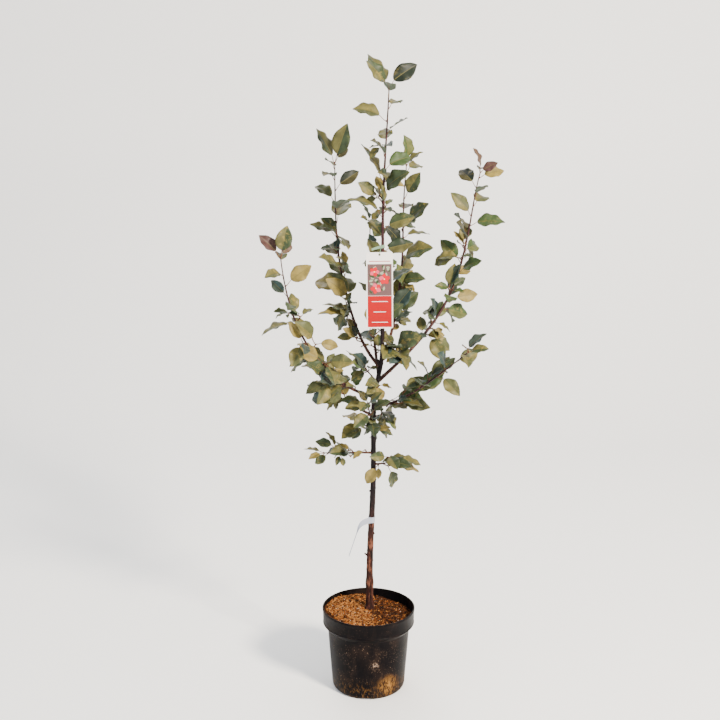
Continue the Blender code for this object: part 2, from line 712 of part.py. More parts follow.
def add_pot(tree, tools):
    """A turned shell with a deep stiffening collar, drain holes, and wide channels that notch its foot."""
    wall_top = POT_HEIGHT - RIM_ROUND
    collar_foot = POT_HEIGHT - COLLAR_HEIGHT
    shoulder = collar_foot - SHOULDER_HEIGHT
    profile = [
        (0, FLOOR), (BASE_RADIUS - WALL - 0.006, FLOOR), (BASE_RADIUS - WALL, FLOOR + 0.006),
        (SHOULDER_RADIUS - WALL, shoulder), (RIM_RADIUS - 0.0035 - WALL, collar_foot),
        (RIM_RADIUS - 0.0015 - WALL, wall_top), (RIM_RADIUS - 0.0036, POT_HEIGHT),
        (RIM_RADIUS - 0.0008, POT_HEIGHT), (RIM_RADIUS, wall_top), (RIM_RADIUS - 0.0024, collar_foot),
        (RIM_RADIUS - 0.006, collar_foot - 0.006), (SHOULDER_RADIUS, shoulder),
        (BASE_RADIUS + 0.0006, BASE_ROUND + 0.002), (BASE_RADIUS - 0.003, 0.003),
        (BASE_RADIUS - BASE_ROUND, 0), (0, 0),
    ]
    pot = turn_profile("pot", profile, POT_SIDES, tree, "pot_plastic")
    length = BASE_RADIUS + 0.02 - CHANNEL_START
    for i in range(CHANNELS):
        bm = bmesh.new()
        bmesh.ops.create_cube(bm, size=1)
        bmesh.ops.scale(bm, verts=bm.verts, vec=(length, CHANNEL_WIDTH, 2 * CHANNEL_DEPTH))
        bmesh.ops.translate(bm, verts=bm.verts, vec=(CHANNEL_START + length / 2, 0, 0))
        turn = math.radians(CHANNEL_BEARING + 360 * i / CHANNELS)
        mesh_object(f"channel_{i}", bm, tools).rotation_euler.z = turn
    for i in range(DRAINS):
        a = math.radians(CHANNEL_BEARING + 360 * i / DRAINS)
        bm = bmesh.new()
        bmesh.ops.create_cone(bm, cap_ends=True, segments=DRAIN_SIDES, radius1=DRAIN_RADIUS,
                              radius2=DRAIN_RADIUS, depth=4 * FLOOR)
        hole = mesh_object(f"drain_{i}", bm, tools)
        hole.location = (DRAIN_PLACE * math.cos(a), DRAIN_PLACE * math.sin(a), 0)
    drains = pot.modifiers.new("drains", "BOOLEAN")
    drains.operation = "DIFFERENCE"
    drains.solver = "EXACT"
    drains.operand_type = "COLLECTION"
    drains.collection = tools
    for tool in tools.objects:
        tool.hide_render = True
        tool.display_type = "WIRE"
    apply_modifiers(pot)
    for tool in list(tools.objects):
        bpy.data.objects.remove(tool, do_unlink=True)
    smooth(pot)


def wall_inside(z):
    """The pot's inner radius at a height, as its profile is drawn."""
    collar_foot = POT_HEIGHT - COLLAR_HEIGHT
    corners = [(FLOOR + 0.006, BASE_RADIUS - WALL),
               (collar_foot - SHOULDER_HEIGHT, SHOULDER_RADIUS - WALL),
               (collar_foot, RIM_RADIUS - 0.0035 - WALL),
               (POT_HEIGHT - RIM_ROUND, RIM_RADIUS - 0.0015 - WALL)]
    return float(np.interp(z, [c[0] for c in corners], [c[1] for c in corners]))


def soil_height(x, y):
    """The compost's surface: heaped at the front left, lower at the back right, level round the trunk."""
    foot = trunk_point(SOIL_LEVEL)
    heap = 0.009 * (-x - 0.55 * y) / RIM_RADIUS - 0.006 * smoothstep(0.03, 0.12, x + 0.4 * y)
    rough = 0.0045 * noise.noise(Vector((x * 28, y * 28, 1.7)))
    away = smoothstep(FOOT_REST, FOOT_REST + 0.03, math.hypot(x - foot[0], y - foot[1]))
    return SOIL_LEVEL + away * (heap + rough)


def add_compost(tree):
    collar_foot = POT_HEIGHT - COLLAR_HEIGHT
    slack = GAP + SOIL_SLACK
    edge = wall_inside(SOIL_LEVEL - 0.010) - slack
    rings = [(edge * i / SOIL_RINGS, SOIL_LEVEL) for i in range(SOIL_RINGS + 1)]
    heights = (collar_foot, collar_foot - SHOULDER_HEIGHT, FLOOR + 0.006 + GAP)
    wall = [(wall_inside(z) - slack, z) for z in heights]
    profile = rings + wall + [(BASE_RADIUS - WALL - 0.006 - slack, FLOOR + GAP), (0, FLOOR + GAP)]
    compost = turn_profile("compost", profile, SOIL_SIDES, tree, "compost")
    for v in compost.data.vertices:
        if v.co.z > SOIL_LEVEL - 1e-5:
            v.co.z = soil_height(v.co.x, v.co.y)


def trunk_heights():
    foot = SOIL_LEVEL + GAP
    low = [foot, foot + 0.006, foot + 0.014, foot + 0.026, foot + 0.045]
    graft = [GRAFT_HEIGHT - 0.013, GRAFT_HEIGHT, GRAFT_HEIGHT + 0.013, GRAFT_HEIGHT + 0.032]
    return low + graft + list(np.linspace(GRAFT_HEIGHT + 0.065, TRUNK_END, 18))


def add_trunk(tree):
    heights = trunk_heights()
    radii = [trunk_radius(z) for z in heights]
    trunk = tube("trunk", [trunk_point(z) for z in heights], radii, 3, tree, "bark")
    for v in trunk.data.vertices:
        if v.co.z < heights[0] + 0.003:
            v.co.z = heights[0]
    smooth(trunk)


def trunk_seat(scrap):
    """The trunk a gap wider, which every limb that stands on it is cut by."""
    heights = trunk_heights()
    radii = [trunk_radius(z) + 2 * GAP for z in heights]
    return tube("trunk_seat", [trunk_point(z) for z in heights], radii, 3, scrap)


def add_shoot(shoot, grown, tree, scrap, seat):
    """A bare bough that stands on the trunk, and the leafy rest of the shoot a gap beyond its tip."""
    name = shoot["name"]
    point = bough_curve(shoot)
    bare = shoot["bare"]
    whole = curve_length(point, 0.0, 1.0)
    bare_steps = max(4, round(bare * whole / BOUGH_STEP))
    end = END_STRAIGHT / whole
    ts = [(bare - end) * i / bare_steps for i in range(bare_steps + 1)] + [bare]
    radii = [bough_radius(shoot, t) for t in ts]
    bough = tube(name + "_bough", [point(t) for t in ts], radii, 1, tree, "bark")
    cut(bough, seat)
    smooth(bough)
    start = bare + GAP / whole
    steps = max(4, round((1 - bare) * whole / STEM_STEP))
    ts = [start] + [start + end + (1 - start - end) * i / steps for i in range(steps + 1)]
    radii = [bough_radius(shoot, t) for t in ts]
    stem = tube(name + "_leaves", [point(t) for t in ts], radii, 0, tree, "foliage")
    add_leaves(stem, *grown, scrap)


def add_spur(spec, grown, tree, scrap, seat):
    start, aim, whole = spur_line(spec)
    stem = tube(spec["name"] + "_leaves", [start, start + aim * whole * 0.6, start + aim * whole],
                [SPUR_RADIUS, SPUR_RADIUS, SPUR_RADIUS * 0.8], 0, tree, "foliage")
    cut(stem, seat)
    add_leaves(stem, *grown, scrap)


def add_leader(grown, tree, scrap):
    ts = [i / LEADER_STEPS for i in range(LEADER_STEPS + 1)]
    radii = [leader_radius(t) for t in ts]
    stem = tube("leader_leaves", [leader_point(t) for t in ts], radii, 0, tree, "foliage")
    add_leaves(stem, *grown, scrap)


def card_spot(along, down):
    """A point in the tag's plane, from its top middle."""
    a = math.radians(TAG_TURN)
    x, y = TAG_PLACE
    return np.array([x + along * math.cos(a) + down * math.sin(a), y,
                     TAG_TOP + along * math.sin(a) - down * math.cos(a)])


def add_tag(tree):
    """The card, an outline with round corners and a hole, as thick as it is."""
    outline = bpy.data.curves.new("hang_tag", "CURVE")
    outline.dimensions = "2D"
    outline.fill_mode = "BOTH"
    outline.extrude = TAG_THICKNESS / 2
    edge = []
    for sx, sz, start in ((1, 1, 0), (-1, 1, 90), (-1, -1, 180), (1, -1, 270)):
        for step in range(4):
            a = math.radians(start + 30 * step)
            edge.append((sx * (TAG_WIDTH / 2 - TAG_CORNER) + TAG_CORNER * math.cos(a),
                         sz * (TAG_HEIGHT / 2 - TAG_CORNER) + TAG_CORNER * math.sin(a)))
    hole = []
    for step in range(8):
        a = 2 * math.pi * step / 8
        hole.append((TAG_HOLE_RADIUS * math.cos(a),
                     TAG_HEIGHT / 2 - TAG_HOLE_DROP + TAG_HOLE_RADIUS * math.sin(a)))
    for ring in (edge, hole):
        spline = outline.splines.new("POLY")
        spline.points.add(len(ring) - 1)
        spline.use_cyclic_u = True
        for spot, (x, y) in zip(spline.points, ring):
            spot.co = (x, y, 0, 1)
    guide = bpy.data.objects.new("hang_tag_guide", outline)
    tree.objects.link(guide)
    guide.rotation_euler = (math.radians(90), -math.radians(TAG_TURN), 0)
    guide.location = card_spot(0, TAG_HEIGHT / 2)
    bpy.context.view_layer.update()
    curve_to_mesh(guide, "hang_tag", tree, "tag_card")


def band(name, height, width, thickness, tree, finish):
    """A flat band round the trunk or leader, a gap clear of it."""
    inner = (trunk_radius(height) + GAP) / math.cos(math.pi / BAND_SIDES)
    outer = inner + thickness
    profile = [(inner, width / 2), (outer, width / 2), (outer, -width / 2), (inner, -width / 2)]
    made = turn_profile(name, profile, BAND_SIDES, tree, finish, ring=True)
    turn = Vector(UP).rotation_difference(Vector(trunk_way(height))).to_matrix().to_4x4()
    made.data.transform(Matrix.Translation(Vector(trunk_point(height))) @ turn)
    return made, outer


def add_tie(tree, scrap):
    """The green tie: a band round the leader, a tongue to the left, and a loop through the tag's hole."""
    tie, outer = band("tag_tie", TIE_HEIGHT, TIE_WIDTH, TIE_THICKNESS, tree, "tie_plastic")
    axis = trunk_point(TIE_HEIGHT)
    front = axis + np.array([0.0, TIE_THICKNESS / 2 - outer, 0.0])
    steps = 4
    points = [front + TIE_TONGUE * i / steps * np.array([-1.0, -0.06, -0.13]) for i in range(steps + 1)]
    sides = [np.array([-0.13, 0.0, 1.0])] * len(points)
    strip("tongue", points, sides, [TIE_WIDTH * 0.96] * len(points), TIE_THICKNESS * 0.9, scrap)
    hole = card_spot(0, TAG_HOLE_DROP)
    bottom = hole + UP * (TAG_HOLE_RADIUS - TIE_LOOP_RADIUS - 2 * GAP)
    away = outer - TIE_THICKNESS + TIE_LOOP_RADIUS + GAP / 3
    top = axis + away * unit(np.array([-0.75, -1.0, 0.0]))
    middle, half = (top + bottom) / 2, (top - bottom) / 2
    loop = []
    for step in range(10):
        a = 2 * math.pi * step / 10
        loop.append(middle - half * math.cos(a) + np.array([0.0, TIE_LOOP_DEPTH * math.sin(a), 0.0]))
    tube("loop", loop, [TIE_LOOP_RADIUS] * len(loop), 0, scrap, closed=True)
    fuse(tie, scrap)


def add_label(tree, scrap):
    """The pale loop label: a band round the trunk and a tail that droops to the left and twists edge on."""
    label, outer = band("trunk_label", LABEL_HEIGHT, LABEL_WIDTH, LABEL_THICKNESS, tree, "label_plastic")
    spot = trunk_point(LABEL_HEIGHT) + np.array([0.0, LABEL_THICKNESS / 2 - outer, 0.0])
    steps = 10
    points, sides, widths = [], [], []
    for i in range(steps + 1):
        share = i / steps
        slope = math.radians(8 + 64 * smoothstep(0.0, 0.42, share))
        twist = math.radians(82 * smoothstep(0.16, 0.5, share))
        points.append(spot)
        square = np.array([-math.sin(slope), 0.0, math.cos(slope)])
        sides.append(square * math.cos(twist) + np.array([0.0, 1.0, 0.0]) * math.sin(twist))
        widths.append(LABEL_WIDTH * 0.96 + (LABEL_TAIL_WIDTH - LABEL_WIDTH) * smoothstep(0.1, 0.4, share))
        spot = spot + LABEL_TAIL / steps * np.array([-math.cos(slope), -0.04, -math.sin(slope)])
    strip("tail", points, sides, widths, LABEL_THICKNESS * 0.9, scrap)
    fuse(label, scrap)


def build():
    clear_scene()
    root = bpy.context.scene.collection
    tree = bpy.data.collections.new("dwarf_apple_tree")
    tools = bpy.data.collections.new("cutters")
    scrap = bpy.data.collections.new("scrap")
    for collection in (tree, tools, scrap):
        root.children.link(collection)
    garden = plan_garden()
    grown = grow_all(garden)
    add_pot(tree, tools)
    add_compost(tree)
    add_trunk(tree)
    seat = trunk_seat(tools)
    add_leader(grown["leader"], tree, scrap)
    for shoot in SHOOTS:
        add_shoot(shoot, grown[shoot["name"]], tree, scrap, seat)
    for spec in SPURS:
        add_spur(spec, grown[spec["name"]], tree, scrap, seat)
    bpy.data.objects.remove(seat, do_unlink=True)
    add_tag(tree)
    add_tie(tree, scrap)
    add_label(tree, scrap)
    bpy.data.collections.remove(scrap)
    print("leaves:", sum(len(leaves) for _, leaves in grown.values()))


if __name__ == "__main__":
    build()
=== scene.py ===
import math
import random

import bmesh
import bpy
import numpy as np
from mathutils import Matrix, Vector, noise


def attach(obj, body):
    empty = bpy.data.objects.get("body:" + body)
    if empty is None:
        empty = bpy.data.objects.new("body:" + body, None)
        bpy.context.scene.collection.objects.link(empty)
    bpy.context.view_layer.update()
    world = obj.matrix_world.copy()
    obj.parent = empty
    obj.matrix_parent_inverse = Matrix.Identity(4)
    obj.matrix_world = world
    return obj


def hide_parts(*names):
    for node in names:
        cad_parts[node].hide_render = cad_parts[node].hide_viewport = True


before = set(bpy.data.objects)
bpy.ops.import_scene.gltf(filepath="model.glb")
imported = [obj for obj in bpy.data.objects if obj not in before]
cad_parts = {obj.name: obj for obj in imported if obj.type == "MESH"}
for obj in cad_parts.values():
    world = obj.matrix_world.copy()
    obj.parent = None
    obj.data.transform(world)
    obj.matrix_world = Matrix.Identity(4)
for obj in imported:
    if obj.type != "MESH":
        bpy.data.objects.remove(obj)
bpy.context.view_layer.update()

gap = 0.0003
up = np.array([0.0, 0.0, 1.0])
soilLevel = 0.226

# The growth rule: the same limbs and leaves as the solids, in the same order of draws
trunk = {
    "foot": (0.003, 0.016), "steps": ((0.010, 0.33, 0.66), (0.0235, 0.83, 1.00), (0.017, 1.34, 1.80)),
    "leanBack": (0.24, 0.62), "wave": 0.004, "top": 1.690, "end": 1.060, "radius": 0.0102,
    "forkRadius": 0.0063, "forkHeight": 0.950, "tipRadius": 0.0016, "flare": 0.0042, "flareHeight": 0.016,
    "graftHeight": 0.305, "graftSwell": 0.0022,
}
growRule = {
    "tipRadius": 0.0013, "sway": 0.004, "spiral": 137.5, "tries": 9, "limbClearance": 0.0028,
    "spaceMargin": 0.003, "leafClearance": 0.006, "spurRadius": 0.0021, "spurRoom": 0.035,
}
leafSpec = {"width": 0.62, "sun": (0.30, -0.72, 0.62), "lit": 0.80}
tag = {
    "width": 0.072, "height": 0.208, "thickness": 0.0008, "corner": 0.004, "top": 1.2645,
    "place": (0.0275, -0.0075), "turn": 0.6, "holeDrop": 0.0068, "holeRadius": 0.0030, "view": 0.30,
}
tieSpec = {
    "height": 1.279, "width": 0.008, "thickness": 0.0009, "tongue": 0.030, "loopRadius": 0.0006,
    "loopDepth": 0.0034,
}

# One row a shoot: its line, where hold is how long it keeps its first and last way, then its leaves
shootKeys = ("name", "height", "bearing", "leave", "arrive", "reach", "rise", "hold", "radius", "bare",
             "nodes", "spurs", "leaf", "tip", "start", "seed")
shoots = [dict(zip(shootKeys, row)) for row in (
    ("upper_left", 0.947, 128, 25, 92, 0.205, 0.548, (0.33, 0.33), 0.0045, 0.26,
     15, 0.20, 0.078, 1.25, 130, 86),
    ("upper_right", 0.977, 62, 34, 78, 0.146, 0.513, (0.35, 0.38), 0.0044, 0.22,
     13, 0.20, 0.076, 1.0, 115, 114),
    ("far_right", 0.906, 28, 34, 72, 0.326, 0.564, (0.61, 0.30), 0.0048, 0.17,
     17, 0.32, 0.074, 0.85, 310, 69),
    ("far_left", 0.863, 212, 18, 84, 0.287, 0.406, (0.37, 0.38), 0.0045, 0.20,
     15, 0.45, 0.067, 1.0, 140, 31),
    ("back", 0.925, 98, 32, 86, 0.170, 0.400, (0.35, 0.35), 0.0042, 0.26,
     11, 0.28, 0.073, 0.9, 155, 110),
    ("lower_right", 0.837, 325, 5, 40, 0.296, 0.187, (0.23, 0.35), 0.0041, 0.14,
     10, 0.42, 0.069, 1.0, 170, 75),
    ("lower_left", 0.807, 155, 22, 66, 0.180, 0.122, (0.39, 0.36), 0.0037, 0.27,
     8, 0.55, 0.062, 0.85, 310, 22),
    ("front", 0.790, 262, 22, 48, 0.120, 0.085, (0.35, 0.35), 0.0034, 0.30,
     5, 0.60, 0.062, 0.85, 310, 69),
    ("low_left", 0.702, 190, 2, 0, 0.140, 0.006, (0.35, 0.35), 0.0031, 0.16,
     5, 0.70, 0.057, 0.8, 95, 1),
    ("low_right", 0.668, 338, 8, 18, 0.052, 0.012, (0.35, 0.35), 0.0029, 0.40,
     2, 1.0, 0.064, 1.0, 260, 57),
)]
# Short fruiting spurs that stand on the trunk itself
spurKeys = ("name", "height", "bearing", "slope", "length", "leaves", "leaf", "seed")
spurs = [dict(zip(spurKeys, row)) for row in (
    ("spur_left", 0.768, 178, 28, 0.026, 6, 0.070, 97),
    ("spur_right", 0.806, 352, 20, 0.020, 4, 0.056, 106),
    ("spur_back", 0.742, 80, 35, 0.024, 4, 0.058, 57),
    ("spur_front", 0.884, 292, 35, 0.022, 4, 0.054, 67),
    ("fork_left", 0.905, 172, 48, 0.034, 7, 0.068, 50),
    ("fork_right", 0.962, 338, 40, 0.044, 8, 0.074, 137),
)]
leader = dict(name="leader", nodes=20, spurs=0.14, leaf=0.082, tip=1.3, start=355, seed=63)


def unit(v):
    return v / math.sqrt(float(v @ v))


def smoothstep(low, high, x):
    t = min(1.0, max(0.0, (x - low) / (high - low)))
    return t * t * (3 - 2 * t)


def bumpy(x, y, z):
    return noise.noise(Vector((x, y, z)))


# The unit direction at a bearing round +Z and a slope above the horizontal, both in degrees
def compass(bearing, slope):
    b, s = math.radians(bearing), math.radians(slope)
    return np.array([math.cos(b) * math.cos(s), math.sin(b) * math.cos(s), math.sin(s)])


# v turned about a unit axis
def turned(v, axis, degrees):
    a = math.radians(degrees)
    return v * math.cos(a) + np.cross(axis, v) * math.sin(a) + axis * float(axis @ v) * (1 - math.cos(a))


# The trunk leans a little, steps sideways at the fork and becomes the leader
def trunkPoint(z):
    x = trunk["foot"][0]
    for step, low, high in trunk["steps"]:
        x += step * smoothstep(low, high, z)
    y = trunk["foot"][1] * (1 - smoothstep(*trunk["leanBack"], z)) + trunk["wave"] * math.sin(
        7.5 * (z - soilLevel))
    return np.array([x, y, z])


def trunkRadius(z):
    if z < trunk["forkHeight"]:
        share = max(0.0, (z - soilLevel) / (trunk["forkHeight"] - soilLevel))
        body = trunk["radius"] + (trunk["forkRadius"] - trunk["radius"]) * share ** 0.8
    else:
        share = (z - trunk["forkHeight"]) / (trunk["top"] - trunk["forkHeight"])
        body = trunk["forkRadius"] + (trunk["tipRadius"] - trunk["forkRadius"]) * share
    flare = trunk["flare"] * math.exp(-(z - soilLevel) / trunk["flareHeight"])
    graft = trunk["graftSwell"] * math.exp(-((z - trunk["graftHeight"]) / 0.016) ** 2)
    return body + flare + graft


# The direction in which the trunk grows at a height
def trunkWay(z):
    return unit(trunkPoint(z + 0.005) - trunkPoint(z - 0.005))


# The shoot's centre line as a function of t, from 0 at the trunk's axis to 1 at its tip
def boughCurve(shoot):
    start = trunkPoint(shoot["height"])
    out = compass(shoot["bearing"], 0)
    side = np.cross(up, out)
    reach, rise = shoot["reach"], shoot["rise"]
    chord = math.hypot(reach, rise)
    leave, arrive = math.radians(shoot["leave"]), math.radians(shoot["arrive"])
    first, last = shoot["hold"][0] * chord, shoot["hold"][1] * chord
    stops = [(0.0, 0.0), (first * math.cos(leave), first * math.sin(leave)),
             (reach - last * math.cos(arrive), rise - last * math.sin(arrive)), (reach, rise)]

    def point(t):
        weights = ((1 - t) ** 3, 3 * t * (1 - t) ** 2, 3 * t * t * (1 - t), t ** 3)
        along = sum(w * s[0] for w, s in zip(weights, stops))
        height = sum(w * s[1] for w, s in zip(weights, stops))
        sway = growRule["sway"] * chord * math.sin(math.pi * t) * math.sin(9 * t + shoot["bearing"])
        return start + out * along + up * height + side * sway

    return point


def boughRadius(shoot, t):
    body = growRule["tipRadius"] + (shoot["radius"] - growRule["tipRadius"]) * (1 - t) ** 0.85
    return body + 0.30 * shoot["radius"] * math.exp(-t * shoot["reach"] / 0.010)


def curveLength(point, first, last, steps=40):
    spots = [point(first + (last - first) * i / steps) for i in range(steps + 1)]
    return sum(math.dist(a, b) for a, b in zip(spots, spots[1:]))


# A limb's centre line and radii, sampled closely enough to test distances against
class Stem:

    def __init__(self, name, point, radius, first, last, spacing=0.006):
        count = max(3, int(curveLength(point, first, last) / spacing))
        ts = [first + (last - first) * i / count for i in range(count + 1)]
        self.name = name
        self.points = np.array([point(t) for t in ts])
        self.radii = np.array([radius(t) for t in ts])

    # Each spot's distance to the centre line, and the limb's radius there
    def distance(self, spots):
        gaps = np.linalg.norm(spots[:, None, :] - self.points[None, :, :], axis=2)
        nearest = gaps.argmin(axis=1)
        return gaps[np.arange(len(spots)), nearest], self.radii[nearest]


# The direction of growth at t, and two directions square to it
def frameAlong(point, t, step=0.004):
    low, high = max(0.0, t - step), min(1.0, t + step)
    along = unit(point(high) - point(low))
    hint = up if abs(along[2]) < 0.9 else np.array([0.0, -1.0, 0.0])
    across = unit(np.cross(along, hint))
    return along, across, np.cross(across, along)


def turnedRows(v, axis, angles):  # rows square to their axes, turned about them
    cos, sin = np.cos(angles)[:, None], np.sin(angles)[:, None]
    return v * cos + np.cross(axis, v) * sin


# A leaf is its petiole's root and the blade's base, directions, length, bend, fold and twist.
# Points on the blade's midrib, with the direction of growth and the upper side's normal there
def bladeFrame(leaf, t):
    bend = math.radians(leaf["bend"])
    angle = (bend * t)[:, None]
    ahead, drop = np.sin(angle) / bend, (1 - np.cos(angle)) / bend
    spot = leaf["base"] + leaf["length"] * (ahead * leaf["along"] - drop * leaf["normal"])
    along = leaf["along"] * np.cos(angle) - leaf["normal"] * np.sin(angle)
    normal = leaf["normal"] * np.cos(angle) + leaf["along"] * np.sin(angle)
    return spot, along, turnedRows(normal, along, np.radians(leaf["twist"] * t))


def halfWidths(leaf, t):
    shape = np.maximum(0.0, np.sin(np.pi * t ** 0.82)) ** 0.82
    return 0.5 * leafSpec["width"] * leaf["length"] * leaf["broad"] * shape * (1 - 0.22 * t ** 5)


# Points of a blade: side is -1 to 1 from edge to edge, width and height are metres off the midrib
def bladeSpots(leaf, t, side, width, height, fold):
    spot, along, normal = bladeFrame(leaf, t)
    edge = np.cross(along, normal) * (np.sign(side) * width * np.cos(fold))[:, None]
    return spot + edge + normal * (width * np.sin(fold) + height)[:, None]


testStations = np.array([(0.12, 0.0), (0.3, -1.0), (0.3, 1.0), (0.35, 0.0), (0.55, -1.0), (0.55, 1.0),
                         (0.6, 0.0), (0.8, -1.0), (0.8, 1.0), (0.8, 0.0), (1.0, 0.0)])


# One leaf by chance: outward is square to growth, spread is the petiole's angle from growth
def drawLeaf(rng, root, growth, outward, length, spread):
    s = math.radians(spread + rng.uniform(-13, 13))
    size = length * rng.uniform(0.80, 1.16)
    aim = unit(growth * math.cos(s) + outward * math.sin(s) + 0.12 * up)
    petiole = rng.uniform(0.26, 0.40) * size
    level = np.cross(aim, up)
    level = unit(level) if float(level @ level) > 1e-4 else np.array([1.0, 0.0, 0.0])
    along = turned(aim, level, -rng.uniform(4, 30))
    normal = unit(np.cross(level, along))
    light = np.array(leafSpec["sun"])
    flat = light - along * float(light @ along)
    lean = math.degrees(math.atan2(float(np.cross(normal, flat) @ along), float(normal @ flat)))
    normal = turned(normal, along, leafSpec["lit"] * lean + rng.uniform(-32, 32))
    return dict(root=root, base=root + aim * petiole, along=along, normal=normal, length=size,
                bend=rng.uniform(5, 52), fold=rng.uniform(8, 30), twist=rng.uniform(-24, 24),
                broad=rng.uniform(0.86, 1.12), tint=rng.random())


# All limbs, with the tests that keep the leafy shoots apart from them and from each other
class Garden:

    def __init__(self):
        self.limbs = []
        self.cores = {}
        self.room = {}
        self.boxes = []

    # A leafy stem, and how far its space reaches beyond halfway to the next one
    def addCore(self, stem, room):
        self.limbs.append(stem)
        self.cores[stem.name] = stem
        self.room[stem.name] = room

    def fits(self, owner, leaf, placed):
        t, side = testStations.T
        width = halfWidths(leaf, t) * np.abs(side)
        spots = bladeSpots(leaf, t, side, width, 0.0, math.radians(leaf["fold"]))
        reach = leaf["base"] - leaf["root"]
        petiole = np.array([leaf["root"] + reach * share for share in (0.5, 0.8, 1.0)])
        both = np.vstack([leaf["root"], petiole, spots])
        for low, high in self.boxes:
            if ((both > low) & (both < high)).all(axis=1).any():
                return False
        for limb in self.limbs:
            tested = spots if limb.name == owner else both[1:]
            gaps, radii = limb.distance(tested)
            if (gaps < radii + growRule["limbClearance"]).any():
                return False
        own = self.cores[owner].distance(spots)[0] - self.room[owner]
        for name, core in self.cores.items():
            other = core.distance(spots)[0] - self.room[name]
            if name != owner and (other < own + 2 * growRule["spaceMargin"]).any():
                return False
        for other in placed:
            gaps = np.linalg.norm(spots[:, None, :] - other["spots"][None, :, :], axis=2)
            if gaps.min() < growRule["leafClearance"]:
                return False
        leaf["spots"] = spots
        return True


# Draws a leaf until one keeps to its shoot's own space, turning on by step, or gives it up
def place(garden, owner, placed, rng, root, growth, outward, step, size, spread):
    for attempt in range(growRule["tries"]):
        way = turned(outward, growth, step * attempt)
        leaf = drawLeaf(rng, root, growth, way, size() if callable(size) else size, spread)
        if garden.fits(owner, leaf, placed):
            placed.append(leaf)
            return


def aroundLine(point, t, turn):  # the direction of growth at t, and one square to it at a turn round it
    along, across, over = frameAlong(point, t)
    turn = math.radians(turn)
    return along, across * math.cos(turn) + over * math.sin(turn)


# Leaves in a spiral up a shoot: on short spurs low down, singly above, and a few at the tip
def growShoot(garden, spec, point, first):
    owner, nodes = spec["name"], spec["nodes"]
    rng = random.Random(spec["seed"])
    twigs, leaves = [], []
    for k in range(nodes):
        share = (k + 0.35) / nodes
        t = first + (1 - first) * share
        spot = point(t)
        along, outward = aroundLine(point, t, spec["start"] + growRule["spiral"] * k + rng.uniform(-16, 16))
        size = spec["leaf"] * (1.06 - 0.30 * share ** 3)
        if share < spec["spurs"]:
            aim = unit(outward + along * 0.55 + 0.35 * up)
            tip = spot + aim * rng.uniform(0.012, 0.026)
            side = unit(np.cross(aim, along))
            before = len(leaves)
            for j in range(rng.choice((2, 3))):
                spin = rng.uniform(0, 360) + 120 * j
                place(garden, owner, leaves, rng, tip - aim * 0.002, aim, turned(side, aim, spin), 37,
                      size * 0.92, 52)
            if len(leaves) > before:
                twigs.append((spot, tip))
        else:
            place(garden, owner, leaves, rng, spot, along, outward, 24, size, 46)
    for j in range(3):
        along, outward = aroundLine(point, 1.0, spec["start"] + growRule["spiral"] * (nodes + j))
        place(garden, owner, leaves, rng, point(1.0) - along * 0.003, along, outward, 30,
              spec["leaf"] * spec["tip"] * (1.0 - 0.15 * j), 24 + 6 * j)
    return twigs, leaves


# A rosette of leaves round the tip of a spur
def growSpur(garden, spec, tip, aim):
    rng = random.Random(spec["seed"])
    leaves = []
    side = unit(np.cross(aim, up))
    for j in range(spec["leaves"]):
        spin = 360 * j / spec["leaves"] + rng.uniform(-20, 20)
        place(garden, spec["name"], leaves, rng, tip - aim * 0.002, aim, turned(side, aim, spin), 31,
              spec["leaf"], 62 if j else 28)
    return [], leaves


# A spur's centre line, from the trunk's axis to its tip
def spurLine(spec):
    start = trunkPoint(spec["height"])
    aim = compass(spec["bearing"], spec["slope"])
    whole = trunkRadius(spec["height"]) / math.cos(math.radians(spec["slope"])) + spec["length"]
    return start, aim, whole


def leaderPoint(t):
    low = trunk["end"] + gap
    return trunkPoint(low + (trunk["top"] - low) * t)


def leaderRadius(t):
    low = trunk["end"] + gap
    return trunkRadius(low + (trunk["top"] - low) * t)


# Every limb as a sampled line, the leafy parts as cores, and the boxes that leaves keep out of
def planGarden():
    garden = Garden()
    garden.limbs.append(Stem("trunk", trunkPoint, trunkRadius, soilLevel, trunk["end"]))
    garden.addCore(Stem("leader", leaderPoint, leaderRadius, 0.0, 1.0), 0.0)
    for shoot in shoots:
        point = boughCurve(shoot)
        radius = lambda t, shoot=shoot: boughRadius(shoot, t)
        garden.limbs.append(Stem(shoot["name"] + "_bough", point, radius, 0.0, shoot["bare"]))
        short = max(0.0, 0.16 - shoot["reach"] - shoot["rise"])
        garden.addCore(Stem(shoot["name"], point, radius, shoot["bare"], 1.0), 0.35 * short)
    for spec in spurs:
        start, aim, whole = spurLine(spec)
        line = lambda t, start=start, aim=aim, whole=whole: start + aim * whole * t
        stem = Stem(spec["name"], line, lambda t: growRule["spurRadius"], 0.5, 1.0, 0.003)
        garden.addCore(stem, growRule["spurRoom"])
    half = tag["width"] / 2 + 0.006
    tagX, tagY = tag["place"]
    garden.boxes.append((np.array([tagX - half, tagY - tag["view"], tag["top"] - tag["height"] - 0.006]),
                         np.array([tagX + half, tagY + 0.005, tieSpec["height"] + 0.014])))
    tie = trunkPoint(tieSpec["height"])
    garden.boxes.append((tie - np.array([0.042, 0.012, 0.009]), tie + np.array([0.009, 0.009, 0.009])))
    return garden


# The twigs and leaves of every mass, by its name
def growAll(garden):
    grown = {"leader": growShoot(garden, leader, leaderPoint, 0.0)}
    for shoot in shoots:
        grown[shoot["name"]] = growShoot(garden, shoot, boughCurve(shoot), shoot["bare"])
    for spec in spurs:
        start, aim, whole = spurLine(spec)
        grown[spec["name"]] = growSpur(garden, spec, start + aim * whole, aim)
    return grown


def newObject(name, mesh, *materials):
    for material in materials:
        mesh.materials.append(material)
    made = bpy.data.objects.new(name, mesh)
    bpy.context.scene.collection.objects.link(made)
    return made


